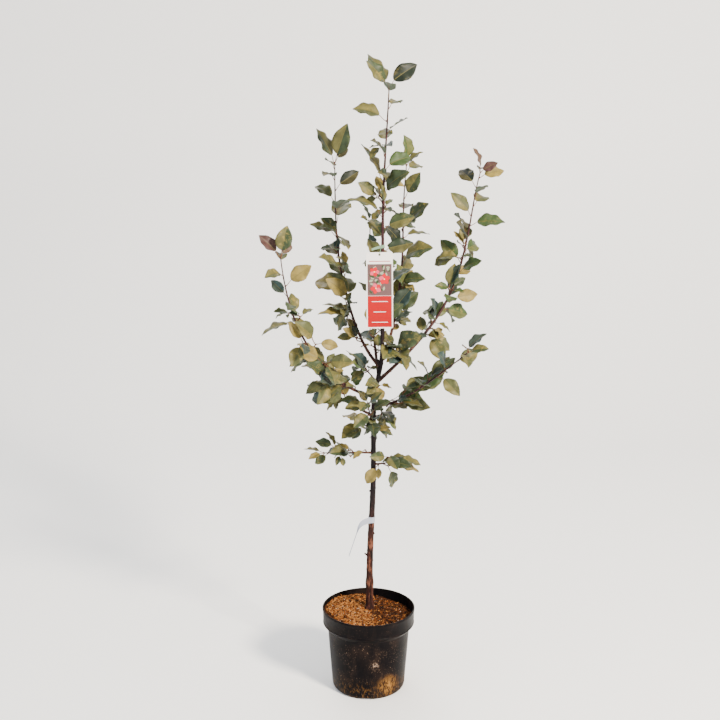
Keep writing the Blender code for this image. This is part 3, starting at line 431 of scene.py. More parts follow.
def wear(piece, slot, *nodes):  # the piece rides on the plant and stands for these nodes
    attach(piece, "root")
    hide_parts(*nodes)


def meshFrom(bm, name, angle=None):
    bmesh.ops.recalc_face_normals(bm, faces=bm.faces)
    mesh = bpy.data.meshes.new(name)
    bm.to_mesh(mesh)
    bm.free()
    mesh.shade_smooth()
    if angle:
        mesh.set_sharp_from_angle(angle=math.radians(angle))
    return mesh


# A socket in a shader tree: the operators add Math nodes
class Wire:
    def __init__(self, tree, socket):
        self.tree = tree
        self.socket = socket

    def node(self, kind, settings=None, values=None, out=0):
        made = self.tree.nodes.new(kind)
        for name, value in (settings or {}).items():
            setattr(made, name, value)
        for name, value in (values or {}).items():
            if isinstance(value, Wire):
                self.tree.links.new(value.socket, made.inputs[name])
            elif isinstance(value, tuple) and len(value) == 3 and made.inputs[name].type == "RGBA":
                made.inputs[name].default_value = (*value, 1)
            else:
                made.inputs[name].default_value = value
        return Wire(self.tree, made.outputs[out])

    def math(self, operation, *values):
        return self.node("ShaderNodeMath", {"operation": operation}, dict(enumerate(values)))

    def step(self, low, high):  # 0 below low, 1 above high, smooth between
        return self.node("ShaderNodeMapRange", {"interpolation_type": "SMOOTHSTEP"},
                         {0: self, 1: low, 2: high})

    def upright(self, share):  # patterns drawn out up and down, or squashed where share is over 1
        return self.node("ShaderNodeVectorMath", {"operation": "MULTIPLY"}, {0: self, 1: (1, 1, share)})

    def noise(self, scale, detail=3.0, rough=0.5):
        return self.node("ShaderNodeTexNoise", {}, {
            "Vector": self, "Scale": scale, "Detail": detail, "Roughness": rough})

    def axis(self, index):
        return self.node("ShaderNodeSeparateXYZ", {}, {0: self}, index)

    def near(self, spot, radius):  # 1 at a point, 0 a radius away
        away = self.node("ShaderNodeVectorMath", {"operation": "DISTANCE"}, {0: self, 1: spot}, 1)
        return 1.0 - away.step(0.0, radius)

    def blend(self, first, second):  # this mask mixes two colours
        return self.node("ShaderNodeMix", {"data_type": "RGBA"}, {0: self, 6: first, 7: second}, 2)


def operator(operation, reflected):
    return lambda self, other: self.math(operation, *((other, self) if reflected else (self, other)))


for sign, operation in (("add", "ADD"), ("sub", "SUBTRACT"), ("mul", "MULTIPLY"), ("truediv", "DIVIDE")):
    setattr(Wire, f"__{sign}__", operator(operation, False))
    setattr(Wire, f"__r{sign}__", operator(operation, True))


def mixed(first, second, share):
    return tuple(a + (b - a) * share for a, b in zip(first, second))


def shaded(colour, share):
    return tuple(min(1.0, c * share) for c in colour)


# A material whose nodes read Object coordinates
class Finish:
    def __init__(self, name, roughness, shine):
        self.material = bpy.data.materials.new(name)
        self.material.use_nodes = True
        tree = self.material.node_tree
        self.shader = tree.nodes["Principled BSDF"]
        self.shader.inputs["Roughness"].default_value = roughness
        self.shader.inputs["Specular IOR Level"].default_value = shine
        self.place = Wire(tree, tree.nodes.new("ShaderNodeTexCoord").outputs["Object"])

    def feed(self, name, wire):
        wire.tree.links.new(wire.socket, self.shader.inputs[name])

    def bump(self, wire, distance, strength):
        self.feed("Normal", wire.node("ShaderNodeBump", {}, {
            "Height": wire, "Distance": distance, "Strength": strength}))
        return self.material


print("materials")
potLook = {
    "black": (0.0026, 0.0022, 0.0028), "dust": (0.020, 0.012, 0.009), "speck": (0.17, 0.11, 0.07),
    "stain": (0.25, 0.115, 0.026), "stainSpot": (0.054, -0.089, 0.038), "stainRadius": 0.046,
    "scuff": (0.30, 0.21, 0.15), "scuffSpot": (0.017, -0.1115, 0.110), "scuffRadius": 0.016,
}


def potFinish():
    finish = Finish("potPlastic", 0.42, 0.04)
    place = finish.place
    haze = place.noise(13, 7, 0.62).step(0.42, 0.74) * 0.62
    haze = haze + place.upright(0.25).noise(70, 4).step(0.48, 0.8) * 0.30
    foot = 1.0 - place.axis(2).step(0.0, 0.075)  # more dirt low on the wall
    specks = place.upright(0.55).noise(430, 2).step(0.64, 0.72) * place.noise(26, 3).step(0.36, 0.58)
    specks = specks * (1.0 - place.axis(2).step(0.165, 0.205) * 0.75)  # the collar is cleaner
    splash = place.upright(0.40).noise(210, 5, 0.6).step(0.50, 0.66) * foot
    drops = place.upright(0.45).noise(150, 6, 0.62).step(0.42, 0.58)
    stain = place.near(potLook["stainSpot"], potLook["stainRadius"]) * drops
    marks = place.noise(170, 6, 0.6).step(0.46, 0.60)
    scuff = place.near(potLook["scuffSpot"], potLook["scuffRadius"]) * marks
    base = potLook["black"]
    for mask, key in ((haze, "dust"), (splash * 0.35, "stain"), (specks * 0.8, "speck"),
                      (stain * 0.95, "stain"), (scuff * 0.9, "scuff")):
        base = mask.blend(base, potLook[key])
    finish.feed("Base Color", base)
    finish.feed("Roughness", haze * 0.30 + stain * 0.2 + 0.36)
    return finish.bump(place.noise(260, 4) * 0.6 + place.noise(40, 3), 0.0006, 0.35)


def soilFinish(name, dark, light, scale):
    finish = Finish(name, 0.92, 0.05)
    place = finish.place
    mask = place.noise(scale, 6, 0.65).step(0.34, 0.68)
    finish.feed("Base Color", mask.blend(dark, light))
    return finish.bump(place.noise(scale * 4, 5), 0.0012, 0.6)


barkLook = {
    "low": (0.038, 0.012, 0.009), "lowDark": (0.005, 0.003, 0.003), "peel": (0.135, 0.050, 0.030),
    "high": (0.014, 0.008, 0.009), "highDark": (0.004, 0.003, 0.004), "lenticel": (0.085, 0.048, 0.034),
    "turn": (0.42, 0.60),
}


def barkFinish():
    finish = Finish("trunkBark", 0.62, 0.10)
    place = finish.place
    height = place.axis(2).step(*barkLook["turn"])
    streak = place.upright(0.16).noise(150, 6, 0.6).step(0.36, 0.66)
    flake = place.upright(0.30).noise(85, 5, 0.7).step(0.50, 0.60)
    low = flake.blend(streak.blend(barkLook["lowDark"], barkLook["low"]), barkLook["peel"])
    high = streak.blend(barkLook["highDark"], barkLook["high"])
    dots = place.upright(2.6).noise(330, 2).step(0.68, 0.73)
    base = (dots * 0.75).blend(height.blend(low, high), barkLook["lenticel"])
    finish.feed("Base Color", base)
    finish.feed("Roughness", 0.78 - height * 0.24)
    relief = streak * 0.5 + flake * (1.0 - height) * 0.8 + dots * 0.5
    return finish.bump(relief, 0.0009, 0.8)


def limbFinish(name, dark, light, dot, roughness):
    finish = Finish(name, roughness, 0.14)
    place = finish.place
    streak = place.upright(0.35).noise(170, 5, 0.6).step(0.32, 0.68)
    dots = place.noise(520, 2).step(0.67, 0.72)
    finish.feed("Base Color", (dots * 0.7).blend(streak.blend(dark, light), dot))
    return finish.bump(streak * 0.5 + dots, 0.0004, 0.6)


# Leaf colours are plain, one material each, dealt out leaf by leaf. Each has its colour, then how far the
# half that turns to the sun (painted sunlight) and the ripe blotches (real yellowing) go towards the gold one
leafTints = {
    "deep": ((0.010, 0.015, 0.009), 0.14, 0.30),
    "dark": ((0.018, 0.028, 0.014), 0.20, 0.42),
    "mid": ((0.032, 0.046, 0.019), 0.24, 0.55),
    "fresh": ((0.038, 0.064, 0.020), 0.17, 0.45),
    # The cool tint is partly painted shade, for leaves turned from the sun; olive and gold are partly painted
    # sunlight
    "cool": ((0.020, 0.038, 0.033), 0.06, 0.0),
    "olive": ((0.062, 0.068, 0.024), 0.24, 0.60),
    "gold": ((0.170, 0.130, 0.034), 0.22, 0.30),
    "bronze": ((0.062, 0.030, 0.025), 0.08, 0.0),
}
# Gold that is painted sunlight on the leaf halves turned to the sun, and the real colour of the ripe blotches
paintedSunAndRipeGold = (0.255, 0.190, 0.042)
leafUnder = (0.078, 0.098, 0.064)


def leafFinish(name, colour, roughness, mottle, ripe=0.0):
    finish = Finish(name, roughness, 0.22)
    place = finish.place
    mask = place.noise(55, 5, 0.6).step(0.30, 0.72)
    base = mask.blend(shaded(colour, 1 - mottle), shaded(colour, 1 + mottle))
    if ripe:  # yellow blotches between the veins
        blotch = place.noise(95, 4, 0.65).step(0.50, 0.66) * place.noise(21, 2).step(0.44, 0.60)
        base = blotch.blend(base, mixed(colour, paintedSunAndRipeGold, ripe))
    finish.feed("Base Color", base)
    return finish.bump(place.noise(420, 3), 0.00010, 0.35)


def plainFinish(name, colour, roughness, scale=180, mottle=0.12, depth=0.0002):
    finish = Finish(name, roughness, 0.18)
    mask = finish.place.noise(scale, 4)
    finish.feed("Base Color", mask.blend(shaded(colour, 1 - mottle), shaded(colour, 1 + mottle)))
    return finish.bump(finish.place.noise(scale * 3, 3), depth, 0.4)


def spunProfile(profile, sides, near=1e-5):  # a lathe shape from radii and heights
    bm = bmesh.new()
    verts = [bm.verts.new((r, 0, z)) for r, z in profile]
    edges = [bm.edges.new(pair) for pair in zip(verts, verts[1:])]
    bmesh.ops.spin(bm, geom=verts + edges, cent=(0, 0, 0), axis=(0, 0, 1), angle=2 * math.pi, steps=sides,
                   use_merge=True)
    bmesh.ops.remove_doubles(bm, verts=bm.verts, dist=near)
    return bm


# Many small shapes made from a few templates and joined in one mesh
def templateOf(bm):
    bmesh.ops.recalc_face_normals(bm, faces=bm.faces)
    bm.verts.index_update()
    bm.normal_update()
    made = {
        "coords": np.array([v.co[:] for v in bm.verts]),
        "loops": np.array([v.index for f in bm.faces for v in f.verts], np.int32),
        "sizes": np.array([len(f.verts) for f in bm.faces], np.int32),
        "facing": np.array([f.normal.z for f in bm.faces]),
        "middle": np.array([f.calc_center_median()[:] for f in bm.faces]),
    }
    bm.free()
    return made


class Batch:
    def __init__(self):
        self.coords, self.loops, self.sizes, self.slots = [], [], [], []
        self.count = 0

    def add(self, template, coords, slots=None):
        self.coords.append(coords)
        self.loops.append(template["loops"] + self.count)
        self.sizes.append(template["sizes"])
        self.slots.append(np.zeros(len(template["sizes"]), np.int32) if slots is None else slots)
        self.count += len(coords)

    def make(self, name, materials, angle=None):
        coords, loops = np.concatenate(self.coords), np.concatenate(self.loops)
        sizes = np.concatenate(self.sizes)
        mesh = bpy.data.meshes.new(name)
        mesh.vertices.add(len(coords))
        mesh.vertices.foreach_set("co", coords.astype(np.float32).ravel())
        mesh.loops.add(len(loops))
        mesh.loops.foreach_set("vertex_index", loops.astype(np.int32))
        mesh.polygons.add(len(sizes))
        mesh.polygons.foreach_set("loop_start", (np.cumsum(sizes) - sizes).astype(np.int32))
        mesh.polygons.foreach_set("material_index", np.concatenate(self.slots).astype(np.int32))
        mesh.update(calc_edges=True)
        mesh.validate()
        mesh.shade_smooth()
        if angle:
            mesh.set_sharp_from_angle(angle=math.radians(angle))
        print(" ", name, len(sizes), "faces")
        return newObject(name, mesh, *materials)


# A closed tube of rings: its vertices hold the ring's number as z and the place round it as x and y
def tubeTemplate(rings, sides):
    made = templateOf(spunProfile([(0, 0)] + [(1, i) for i in range(rings)] + [(0, rings - 1)], sides))
    made["rings"] = rings
    return made


def turnedFrames(points):  # two directions square to a line at each of its points, with no twist
    ways = np.gradient(points, axis=0)
    ways /= np.linalg.norm(ways, axis=1)[:, None]
    hint = np.array([0.0, -1.0, 0.0]) if abs(ways[0][1]) < 0.9 else up
    across = [unit(np.cross(ways[0], hint))]
    for way in ways[1:]:
        side = across[-1] - way * float(across[-1] @ way)
        across.append(unit(side))
    across = np.array(across)
    return across, np.cross(ways, across)


def bentTube(template, points, radii, relief=None):
    points, radii = np.asarray(points), np.asarray(radii)
    across, over = turnedFrames(points)
    x, y, z = template["coords"].T
    ring = np.rint(z).astype(int)
    swell = radii[ring]
    if relief is not None:
        swell = swell + relief(points[ring], np.arctan2(y, x), ring) * (np.hypot(x, y) > 0.5)
    return points[ring] + swell[:, None] * (x[:, None] * across[ring] + y[:, None] * over[ring])


print("camera and light")
view = {"place": (-0.0247, -3.021, 1.613), "tilt": 77.92, "lens": 56.15}
studio = {
    "sky": (0.93, 0.96, 1.0), "skyStrength": 1.0, "aim": (0, 0, 0.9),
    "lamps": {  # place, size, power, colour
        "key": ((3.45, -3.9, 3.9), 1.0, 1120, (1.0, 0.89, 0.74)),
        "fill": ((-2.6, -1.6, 1.9), 2.4, 30, (0.74, 0.85, 1.0)),
        "back": ((-0.9, 2.3, 3.2), 2.0, 60, (1.0, 0.97, 0.92)),
    },
}
floorSpec = {
    "half": 24.0, "front": -24.0, "back": 2.4, "bend": 1.6, "bendSteps": 24, "top": 5.5,
    "colour": (0.96, 0.96, 0.96),
}

camera = newObject("camera", bpy.data.cameras.new("camera"))
camera.location = view["place"]
camera.rotation_euler = (math.radians(view["tilt"]), 0, 0)
camera.data.lens = view["lens"]
bpy.context.scene.camera = camera
for name, (spot, size, power, colour) in studio["lamps"].items():
    lamp = newObject(name, bpy.data.lights.new(name, "AREA"))
    lamp.data.energy, lamp.data.size, lamp.data.color = power, size, colour
    lamp.location = spot
    lamp.rotation_euler = (Vector(studio["aim"]) - Vector(spot)).to_track_quat("-Z", "Y").to_euler()
world = bpy.data.worlds.new("studio")
world.use_nodes = True
sky = world.node_tree.nodes["Background"]
sky.inputs["Color"].default_value = (*studio["sky"], 1)
sky.inputs["Strength"].default_value = studio["skyStrength"]
bpy.context.scene.world = world


def shift(bm, made, move):  # moves the vertices among what an operator has just made
    bmesh.ops.translate(bm, verts=[g for g in made if isinstance(g, bmesh.types.BMVert)], vec=move)


def carryOn(bm, edges, move):  # the floor sheet grows on from its last edge
    made = bmesh.ops.extrude_edge_only(bm, edges=edges)["geom"]
    shift(bm, made, move)
    return [g for g in made if isinstance(g, bmesh.types.BMEdge)
            and abs(g.verts[0].co.x - g.verts[1].co.x) > 1]


def makeFloor():
    half, front, back = floorSpec["half"], floorSpec["front"], floorSpec["back"]
    bm = bmesh.new()
    edge = bm.edges.new([bm.verts.new((x, front, 0)) for x in (-half, half)])
    far = carryOn(bm, [edge], (0, back - front, 0))
    bent = bmesh.ops.spin(bm, geom=far, cent=(0, back, floorSpec["bend"]), axis=(1, 0, 0),
                          angle=math.pi / 2, steps=floorSpec["bendSteps"])["geom_last"]
    carryOn(bm, [g for g in bent if isinstance(g, bmesh.types.BMEdge)], (0, 0, floorSpec["top"]))
    finish = plainFinish("floorPaper", floorSpec["colour"], 0.8, 6, 0.01, 0.0001)
    newObject("floor", meshFrom(bm, "floor"), finish)


makeFloor()

print("pot")
pot = {
    "height": 0.240, "rim": 0.133, "rimRound": 0.004, "collar": 0.046, "shoulder": 0.013,
    "shoulderRadius": 0.1175, "base": 0.1045, "baseRound": 0.008, "wall": 0.0025, "floor": 0.009,
    "channels": 4, "channelWidth": 0.031, "channelDepth": 0.006, "channelStart": 0.052,
    "channelRound": 0.0025, "bearing": 266, "drains": 8, "drain": 0.0055, "drainPlace": 0.085,
    "sides": 128, "sharp": 40,
}


def potProfile():
    top, rim, wall, base, floor = (pot[key] for key in ("height", "rim", "wall", "base", "floor"))
    collarFoot, side = top - pot["collar"], pot["shoulderRadius"]
    shoulder = collarFoot - pot["shoulder"]
    ribs = [(rim - 0.0022 + 0.0010 * math.sin(math.pi * i / 4), collarFoot + 0.0005 + 0.0011 * i)
            for i in range(5)]  # the bead at the collar's foot
    return [
        (0, floor), (base - wall - 0.006, floor), (base - wall - 0.002, floor + 0.001),
        (base - wall, floor + 0.006), (side - wall, shoulder), (rim - 0.0065 - wall, collarFoot - 0.004),
        (rim - 0.0035 - wall, collarFoot), (rim - 0.0015 - wall, top - 0.004), (rim - 0.0036, top - 0.0006),
        (rim - 0.0028, top), (rim - 0.0012, top), (rim - 0.0002, top - 0.0009), (rim, top - 0.0025),
        (rim - 0.0003, top - 0.0070), (rim - 0.0012, top - 0.0085), (rim - 0.0018, collarFoot + 0.008),
        *ribs[::-1], (rim - 0.0032, collarFoot - 0.0008), (rim - 0.0062, collarFoot - 0.0035),
        (rim - 0.0090, collarFoot - 0.0070), (side + 0.0010, shoulder + 0.0012), (side, shoulder - 0.002),
        (side - 0.0019, shoulder - 0.030), (side - 0.0055, shoulder - 0.080), (base + 0.0016, 0.026),
        (base + 0.0008, 0.013), (base - 0.0004, 0.0075), (base - 0.0026, 0.0035), (base - 0.0055, 0.0008),
        (base - pot["baseRound"], 0), (0, 0),
    ]


def cutAway(piece, cutters):  # one Boolean with all cutters, applied at once
    holder = bpy.data.collections.new("cutters")
    for cutter in cutters:
        holder.objects.link(cutter)
    modifier = piece.modifiers.new("cut", "BOOLEAN")
    modifier.operation, modifier.solver = "DIFFERENCE", "EXACT"
    modifier.operand_type, modifier.collection = "COLLECTION", holder
    graph = bpy.context.evaluated_depsgraph_get()
    mesh = bpy.data.meshes.new_from_object(piece.evaluated_get(graph))
    piece.modifiers.clear()
    piece.data = mesh
    for cutter in cutters:
        bpy.data.objects.remove(cutter, do_unlink=True)
    bpy.data.collections.remove(holder)


def potCutters(kind, shape, out):  # as many of these cutters as the pot has, evenly round it
    made = []
    for i in range(pot[kind]):
        bm = bmesh.new()
        shape(bm)
        turn = Matrix.Rotation(math.radians(pot["bearing"] + 360 * i / pot[kind]), 4, "Z")
        bmesh.ops.transform(bm, matrix=turn @ Matrix.Translation((out, 0, 0)), verts=bm.verts)
        made.append(bpy.data.objects.new(kind, meshFrom(bm, kind)))
    return made


def makePot():
    length = pot["base"] + 0.02 - pot["channelStart"]

    def channel(bm):
        bmesh.ops.create_cube(bm, size=1)
        bmesh.ops.scale(bm, verts=bm.verts, vec=(length, pot["channelWidth"], 2 * pot["channelDepth"]))
        rounded = [e for e in bm.edges if all(v.co.z > 0 for v in e.verts)
                   and abs(e.verts[0].co.y - e.verts[1].co.y) < 1e-6]
        bmesh.ops.bevel(bm, geom=rounded, offset=pot["channelRound"], affect="EDGES", segments=3,
                        profile=0.5, material=-1)

    def drain(bm):
        bmesh.ops.create_cone(bm, cap_ends=True, segments=24, radius1=pot["drain"], radius2=pot["drain"],
                              depth=4 * pot["floor"])

    shell = meshFrom(spunProfile(potProfile(), pot["sides"]), "potShell")
    piece = newObject("potShell", shell, potFinish())
    cutAway(piece, potCutters("channels", channel, pot["channelStart"] + length / 2)
            + potCutters("drains", drain, pot["drainPlace"]))
    piece.data.shade_smooth()
    piece.data.set_sharp_from_angle(angle=math.radians(pot["sharp"]))
    wear(piece, "pot_plastic", "pot")


makePot()

print("compost")
compost = {
    "rings": 46, "sides": 150, "slack": 0.0009, "chips": 5200, "crumbs": 1500, "seed": 41,
    "dark": (0.020, 0.007, 0.003), "light": (0.095, 0.030, 0.009), "trunkRoom": 0.016, "edgeRoom": 0.006,
    "long": (0.002, 0.0085), "wide": (0.0007, 0.0022), "thick": (0.0003, 0.0010),
    "crumb": (0.0006, 0.0017), "proud": 0.0026, "heap": 0.009, "dip": 0.006, "lumps": 0.0045,
    "grit": 0.0016, "flat": (0.032, 0.062),
    "shades": {
        "tan": (0.420, 0.175, 0.048), "rust": (0.230, 0.066, 0.014), "brown": (0.070, 0.023, 0.008),
        "black": (0.016, 0.008, 0.006), "pale": (0.620, 0.480, 0.360),
    },
}


def wallInside(z):
    collarFoot = pot["height"] - pot["collar"]
    heights = (pot["floor"] + 0.006, collarFoot - pot["shoulder"], collarFoot,
               pot["height"] - pot["rimRound"])
    radii = (pot["base"], pot["shoulderRadius"], pot["rim"] - 0.0035, pot["rim"] - 0.0015)
    return float(np.interp(z, heights, [r - pot["wall"] for r in radii]))


def soilHeight(x, y):
    foot = trunkPoint(soilLevel)
    heap = compost["heap"] * (-x - 0.55 * y) / pot["rim"]  # highest at the left, lowest at the right
    heap -= compost["dip"] * smoothstep(0.03, 0.12, x + 0.4 * y)
    away = smoothstep(*compost["flat"], math.hypot(x - foot[0], y - foot[1]))
    return soilLevel + away * (heap + compost["lumps"] * bumpy(x * 28, y * 28, 1.7))


def makeBed():
    slack = gap + compost["slack"]
    edge = wallInside(soilLevel - 0.010) - slack
    collarFoot = pot["height"] - pot["collar"]
    rings = [(edge * i / compost["rings"], soilLevel) for i in range(compost["rings"] + 1)]
    heights = (collarFoot, collarFoot - pot["shoulder"], pot["floor"] + 0.006 + gap)
    walls = [(wallInside(z) - slack, z) for z in heights]
    ends = [(pot["base"] - pot["wall"] - 0.006 - slack, pot["floor"] + gap), (0, pot["floor"] + gap)]
    bm = spunProfile(rings + walls + ends, compost["sides"])
    for v in bm.verts:
        if v.co.z > soilLevel - 1e-5:
            x, y, _ = v.co
            v.co.z = soilHeight(x, y) + compost["grit"] * bumpy(x * 150, y * 150, 5)
    finish = soilFinish("compostFibre", compost["dark"], compost["light"], 160)
    wear(newObject("compostBed", meshFrom(bm, "compostBed", 50), finish), "compost", "compost")
    return edge


def makeChips(edge):
    bm = bmesh.new()
    bmesh.ops.create_cube(bm, size=2)
    bmesh.ops.bevel(bm, geom=bm.edges[:], offset=0.45, affect="EDGES", segments=1, profile=0.5, material=-1)
    chip = templateOf(bm)
    bm = bmesh.new()
    bmesh.ops.create_icosphere(bm, subdivisions=1, radius=1)
    crumb = templateOf(bm)
    rng = random.Random(compost["seed"])
    heaps = {key: Batch() for key in compost["shades"]}
    foot = trunkPoint(soilLevel)
    for i in range(compost["chips"] + compost["crumbs"]):
        shape = crumb if i >= compost["chips"] else chip
        far = (edge - compost["edgeRoom"]) * math.sqrt(rng.random())
        a = rng.uniform(0, 2 * math.pi)
        x, y = far * math.cos(a), far * math.sin(a)
        if math.hypot(x - foot[0], y - foot[1]) < compost["trunkRoom"]:
            continue
        bright = 1 - smoothstep(-0.030, 0.040, x + 0.15 * y + 0.012 * bumpy(x * 40, y * 40, 3))
        pick = rng.random()
        if shape is crumb:  # each kind is picked below its own mark
            shares = {"pale": 0.30 + 0.2 * bright, "tan": 0.65, "brown": 1.1}
            size = rng.uniform(*compost["crumb"])
            size *= np.array([rng.uniform(0.8, 1.5), 1, rng.uniform(0.6, 1)])
        else:
            shares = {"tan": 0.05 + 0.38 * bright, "rust": 0.18 + 0.52 * bright,
                      "brown": 0.58 + 0.32 * bright, "black": 1.1}
            long = rng.uniform(*compost["long"]) * (1.5 if rng.random() < 0.12 else 1)
            size = np.array([long, rng.uniform(*compost["wide"]), rng.uniform(*compost["thick"])])
        kind = next(key for key, share in shares.items() if pick < share)
        turn = Matrix.Rotation(rng.uniform(0, 2 * math.pi), 3, "Z") @ Matrix.Rotation(
            rng.gauss(0, 0.30), 3, "Y") @ Matrix.Rotation(rng.gauss(0, 0.5), 3, "X")
        local = shape["coords"] * size
        local[:, 2] += rng.uniform(-0.16, 0.16) * size[0] * (shape["coords"][:, 0] ** 2)
        local[:, 1] *= 1 - rng.uniform(0, 0.7) * (shape["coords"][:, 0] + 1) / 2
        spot = np.array([x, y, soilHeight(x, y) + rng.uniform(0.0, compost["proud"])])
        heaps[kind].add(shape, local @ np.array(turn).T + spot)
    for key, colour in compost["shades"].items():
        finish = soilFinish(key + "Bark", shaded(colour, 0.55), colour, 420)
        wear(heaps[key].make(key + "Chips", [finish]), "compost", "compost")


makeChips(makeBed())

print("growing")
finer = {"share": 0.60, "reach": 0.78, "bare": 0.42, "size": (0.48, 0.76), "twig": (0.009, 0.021),
         "crowd": 1.8, "clear": 0.0045, "spurLeaves": 4, "seedStep": 500}


# Small spurs between the first ones, each with up to three small leaves
def growFiner(garden, grown):
    lines = [(leader, leaderPoint, 0.0)] + [(shoot, boughCurve(shoot), shoot["bare"]) for shoot in shoots]
    for spec, point, first in lines:
        rng = random.Random(spec["seed"] + finer["seedStep"])
        twigs, leaves = grown[spec["name"]]
        for k in range(round(spec["nodes"] * finer["share"])):
            low = first * (1 - finer["bare"])
            t = low + (finer["reach"] - low) * rng.random() ** finer["crowd"]
            spot = point(t)
            along, outward = aroundLine(point, t, growRule["spiral"] * k + rng.uniform(-30, 30))
            aim = unit(outward + along * 0.45 + 0.40 * up)
            tip = spot + aim * rng.uniform(*finer["twig"])
            side = unit(np.cross(aim, along))
            path = np.array([spot + (tip - spot) * s for s in (0.4, 0.7, 1.0)])
            gaps = [np.linalg.norm(path[:, None] - leaf["spots"][None], axis=2).min() for leaf in leaves]
            if min(gaps, default=1.0) < finer["clear"]:
                continue
            before = len(leaves)
            size = spec["leaf"] * rng.uniform(*finer["size"]) * (1.06 - 0.30 * max(0.0, t) ** 3)
            for j in range(rng.choice((2, 3, 3))):
                spin = rng.uniform(0, 360) + 120 * j
                place(garden, spec["name"], leaves, rng, tip - aim * 0.002, aim, turned(side, aim, spin), 37,
                      lambda: size * rng.uniform(0.8, 1.1), 58)
            if len(leaves) > before:
                twigs.append((spot, tip))
    for spec in spurs:
        rng = random.Random(spec["seed"] + finer["seedStep"])
        start, aim, whole = spurLine(spec)
        tip, side = start + aim * whole, unit(np.cross(aim, up))
        for j in range(finer["spurLeaves"]):
            spin = 360 * (j + 0.5) / finer["spurLeaves"] + rng.uniform(-20, 20)
            place(garden, spec["name"], grown[spec["name"]][1], rng, tip - aim * 0.005, aim,
                  turned(side, aim, spin), 31, lambda: spec["leaf"] * rng.uniform(*finer["size"]), 74)


garden = planGarden()
grown = growAll(garden)
tipLeaves = {name: range(len(grown[name][1]) - most, len(grown[name][1]))  # the youngest, bronze ones
             for name, most in (("far_right", 4), ("far_left", 2), ("lower_right", 1))}
print("  leaves by the source's rule:", sum(len(leaves) for _, leaves in grown.values()))
growFiner(garden, grown)
print("  leaves in all:", sum(len(leaves) for _, leaves in grown.values()))
shootNames = [shoot["name"] for shoot in shoots]
massNodes = ["leader_leaves"] + [name + "_leaves" for name in shootNames] + [
    spec["name"] + "_leaves" for spec in spurs]
boughNodes = [name + "_bough" for name in shootNames]

print("bark")
barkRelief = {
    "rings": 430, "sides": 44, "grain": 0.00032, "flakes": 0.00075, "flakesEnd": (0.40, 0.62),
    "knobs": 0.0016, "knobsPerMetre": 36, "knobsEnd": 1.5, "stub": (12, 14), "stubGrain": 0.0003,
}
trunkStubs = [  # height, bearing, slope, length, radius
    (0.385, 186, 38, 0.014, 0.0030),
    (0.452, 20, 30, 0.008, 0.0034),
    (0.585, 200, 25, 0.007, 0.0032),
    (0.621, 320, 20, 0.006, 0.0030),
    (0.951, 196, 62, 0.016, 0.0052),
]


def trunkRelief(spots, angles, rings):
    lift = np.zeros(len(spots))
    for i, (spot, angle) in enumerate(zip(spots, angles)):
        x, y, z = math.cos(angle) * 3.2, math.sin(angle) * 3.2, float(spot[2])
        grain = bumpy(x, y, z * 60) + 0.5 * bumpy(x * 2, y * 2, z * 150)
        flake = max(0.0, bumpy(x * 0.9, y * 0.9, z * 34 + 7))
        low = 1 - smoothstep(*barkRelief["flakesEnd"], z)
        lift[i] = barkRelief["grain"] * grain + low * barkRelief["flakes"] * flake
        knob = z * barkRelief["knobsPerMetre"]
        away = math.cos(angle - math.radians(growRule["spiral"] * int(knob)))
        if away > 0.5 and z < barkRelief["knobsEnd"]:
            high = 0.35 + 0.65 * (1 - smoothstep(0.9, barkRelief["knobsEnd"], z))
            lift[i] += barkRelief["knobs"] * (away - 0.5) * math.exp(-((knob % 1.0 - 0.5) / 0.11) ** 2) * high
    return lift


def stubRelief(spots, angles, rings):
    return barkRelief["stubGrain"] * np.sin(3 * angles + rings)


def makeTrunk():
    template = tubeTemplate(barkRelief["rings"], barkRelief["sides"])
    foot = soilLevel - 0.002
    share = np.linspace(0, 1, template["rings"])
    heights = foot + (trunk["end"] + 0.004 - foot) * share
    batch = Batch()
    batch.add(template, bentTube(template, [trunkPoint(z) for z in heights],
                                 [trunkRadius(max(z, soilLevel)) for z in heights], trunkRelief))
    stub = tubeTemplate(*barkRelief["stub"])
    share = np.linspace(0, 1, stub["rings"])
    for height, bearing, slope, length, radius in trunkStubs:
        way = compass(bearing, slope)
        start = trunkPoint(height) + way * trunkRadius(height) * 0.6
        points = [start + way * length * s for s in share]
        radii = [radius * (1.25 - 0.55 * s ** 0.7) for s in share]
        batch.add(stub, bentTube(stub, points, radii, stubRelief))
    wear(batch.make("trunkWood", [barkFinish()]), "bark", "trunk")


makeTrunk()

limbLook = {
    "bough": ((0.012, 0.006, 0.007), (0.075, 0.029, 0.018), (0.15, 0.085, 0.055)),
    "shoot": ((0.014, 0.006, 0.008), (0.055, 0.019, 0.019), (0.15, 0.08, 0.06)),
    "spur": ((0.030, 0.014, 0.009), (0.090, 0.042, 0.020), (0.17, 0.10, 0.06)),
    "bud": (0.055, 0.018, 0.014),
}
limbs = {
    "bough": (56, 16), "shoot": (110, 12), "twig": (14, 10),  # rings and sides of the tubes
    "grain": 0.00035, "overlap": 0.01, "twigRadii": (0.0019, 0.0017), "spurTaper": (1.1, 0.9), "seed": 7,
    "bud": (0.0011, 0.0026), "sleeper": (0.0013, 0.0028), "sleeperStep": 0.022,
}


def limbRelief(spots, angles, rings):
    return np.array([limbs["grain"] * bumpy(math.cos(a) * 2, math.sin(a) * 2, (s[0] + s[2]) * 70)
                     for s, a in zip(spots, angles)])


def addLimb(batch, template, point, radius, first=0.0, last=1.0):
    ts = np.linspace(first, last, template["rings"])
    batch.add(template, bentTube(template, [point(t) for t in ts], [radius(t) for t in ts], limbRelief))


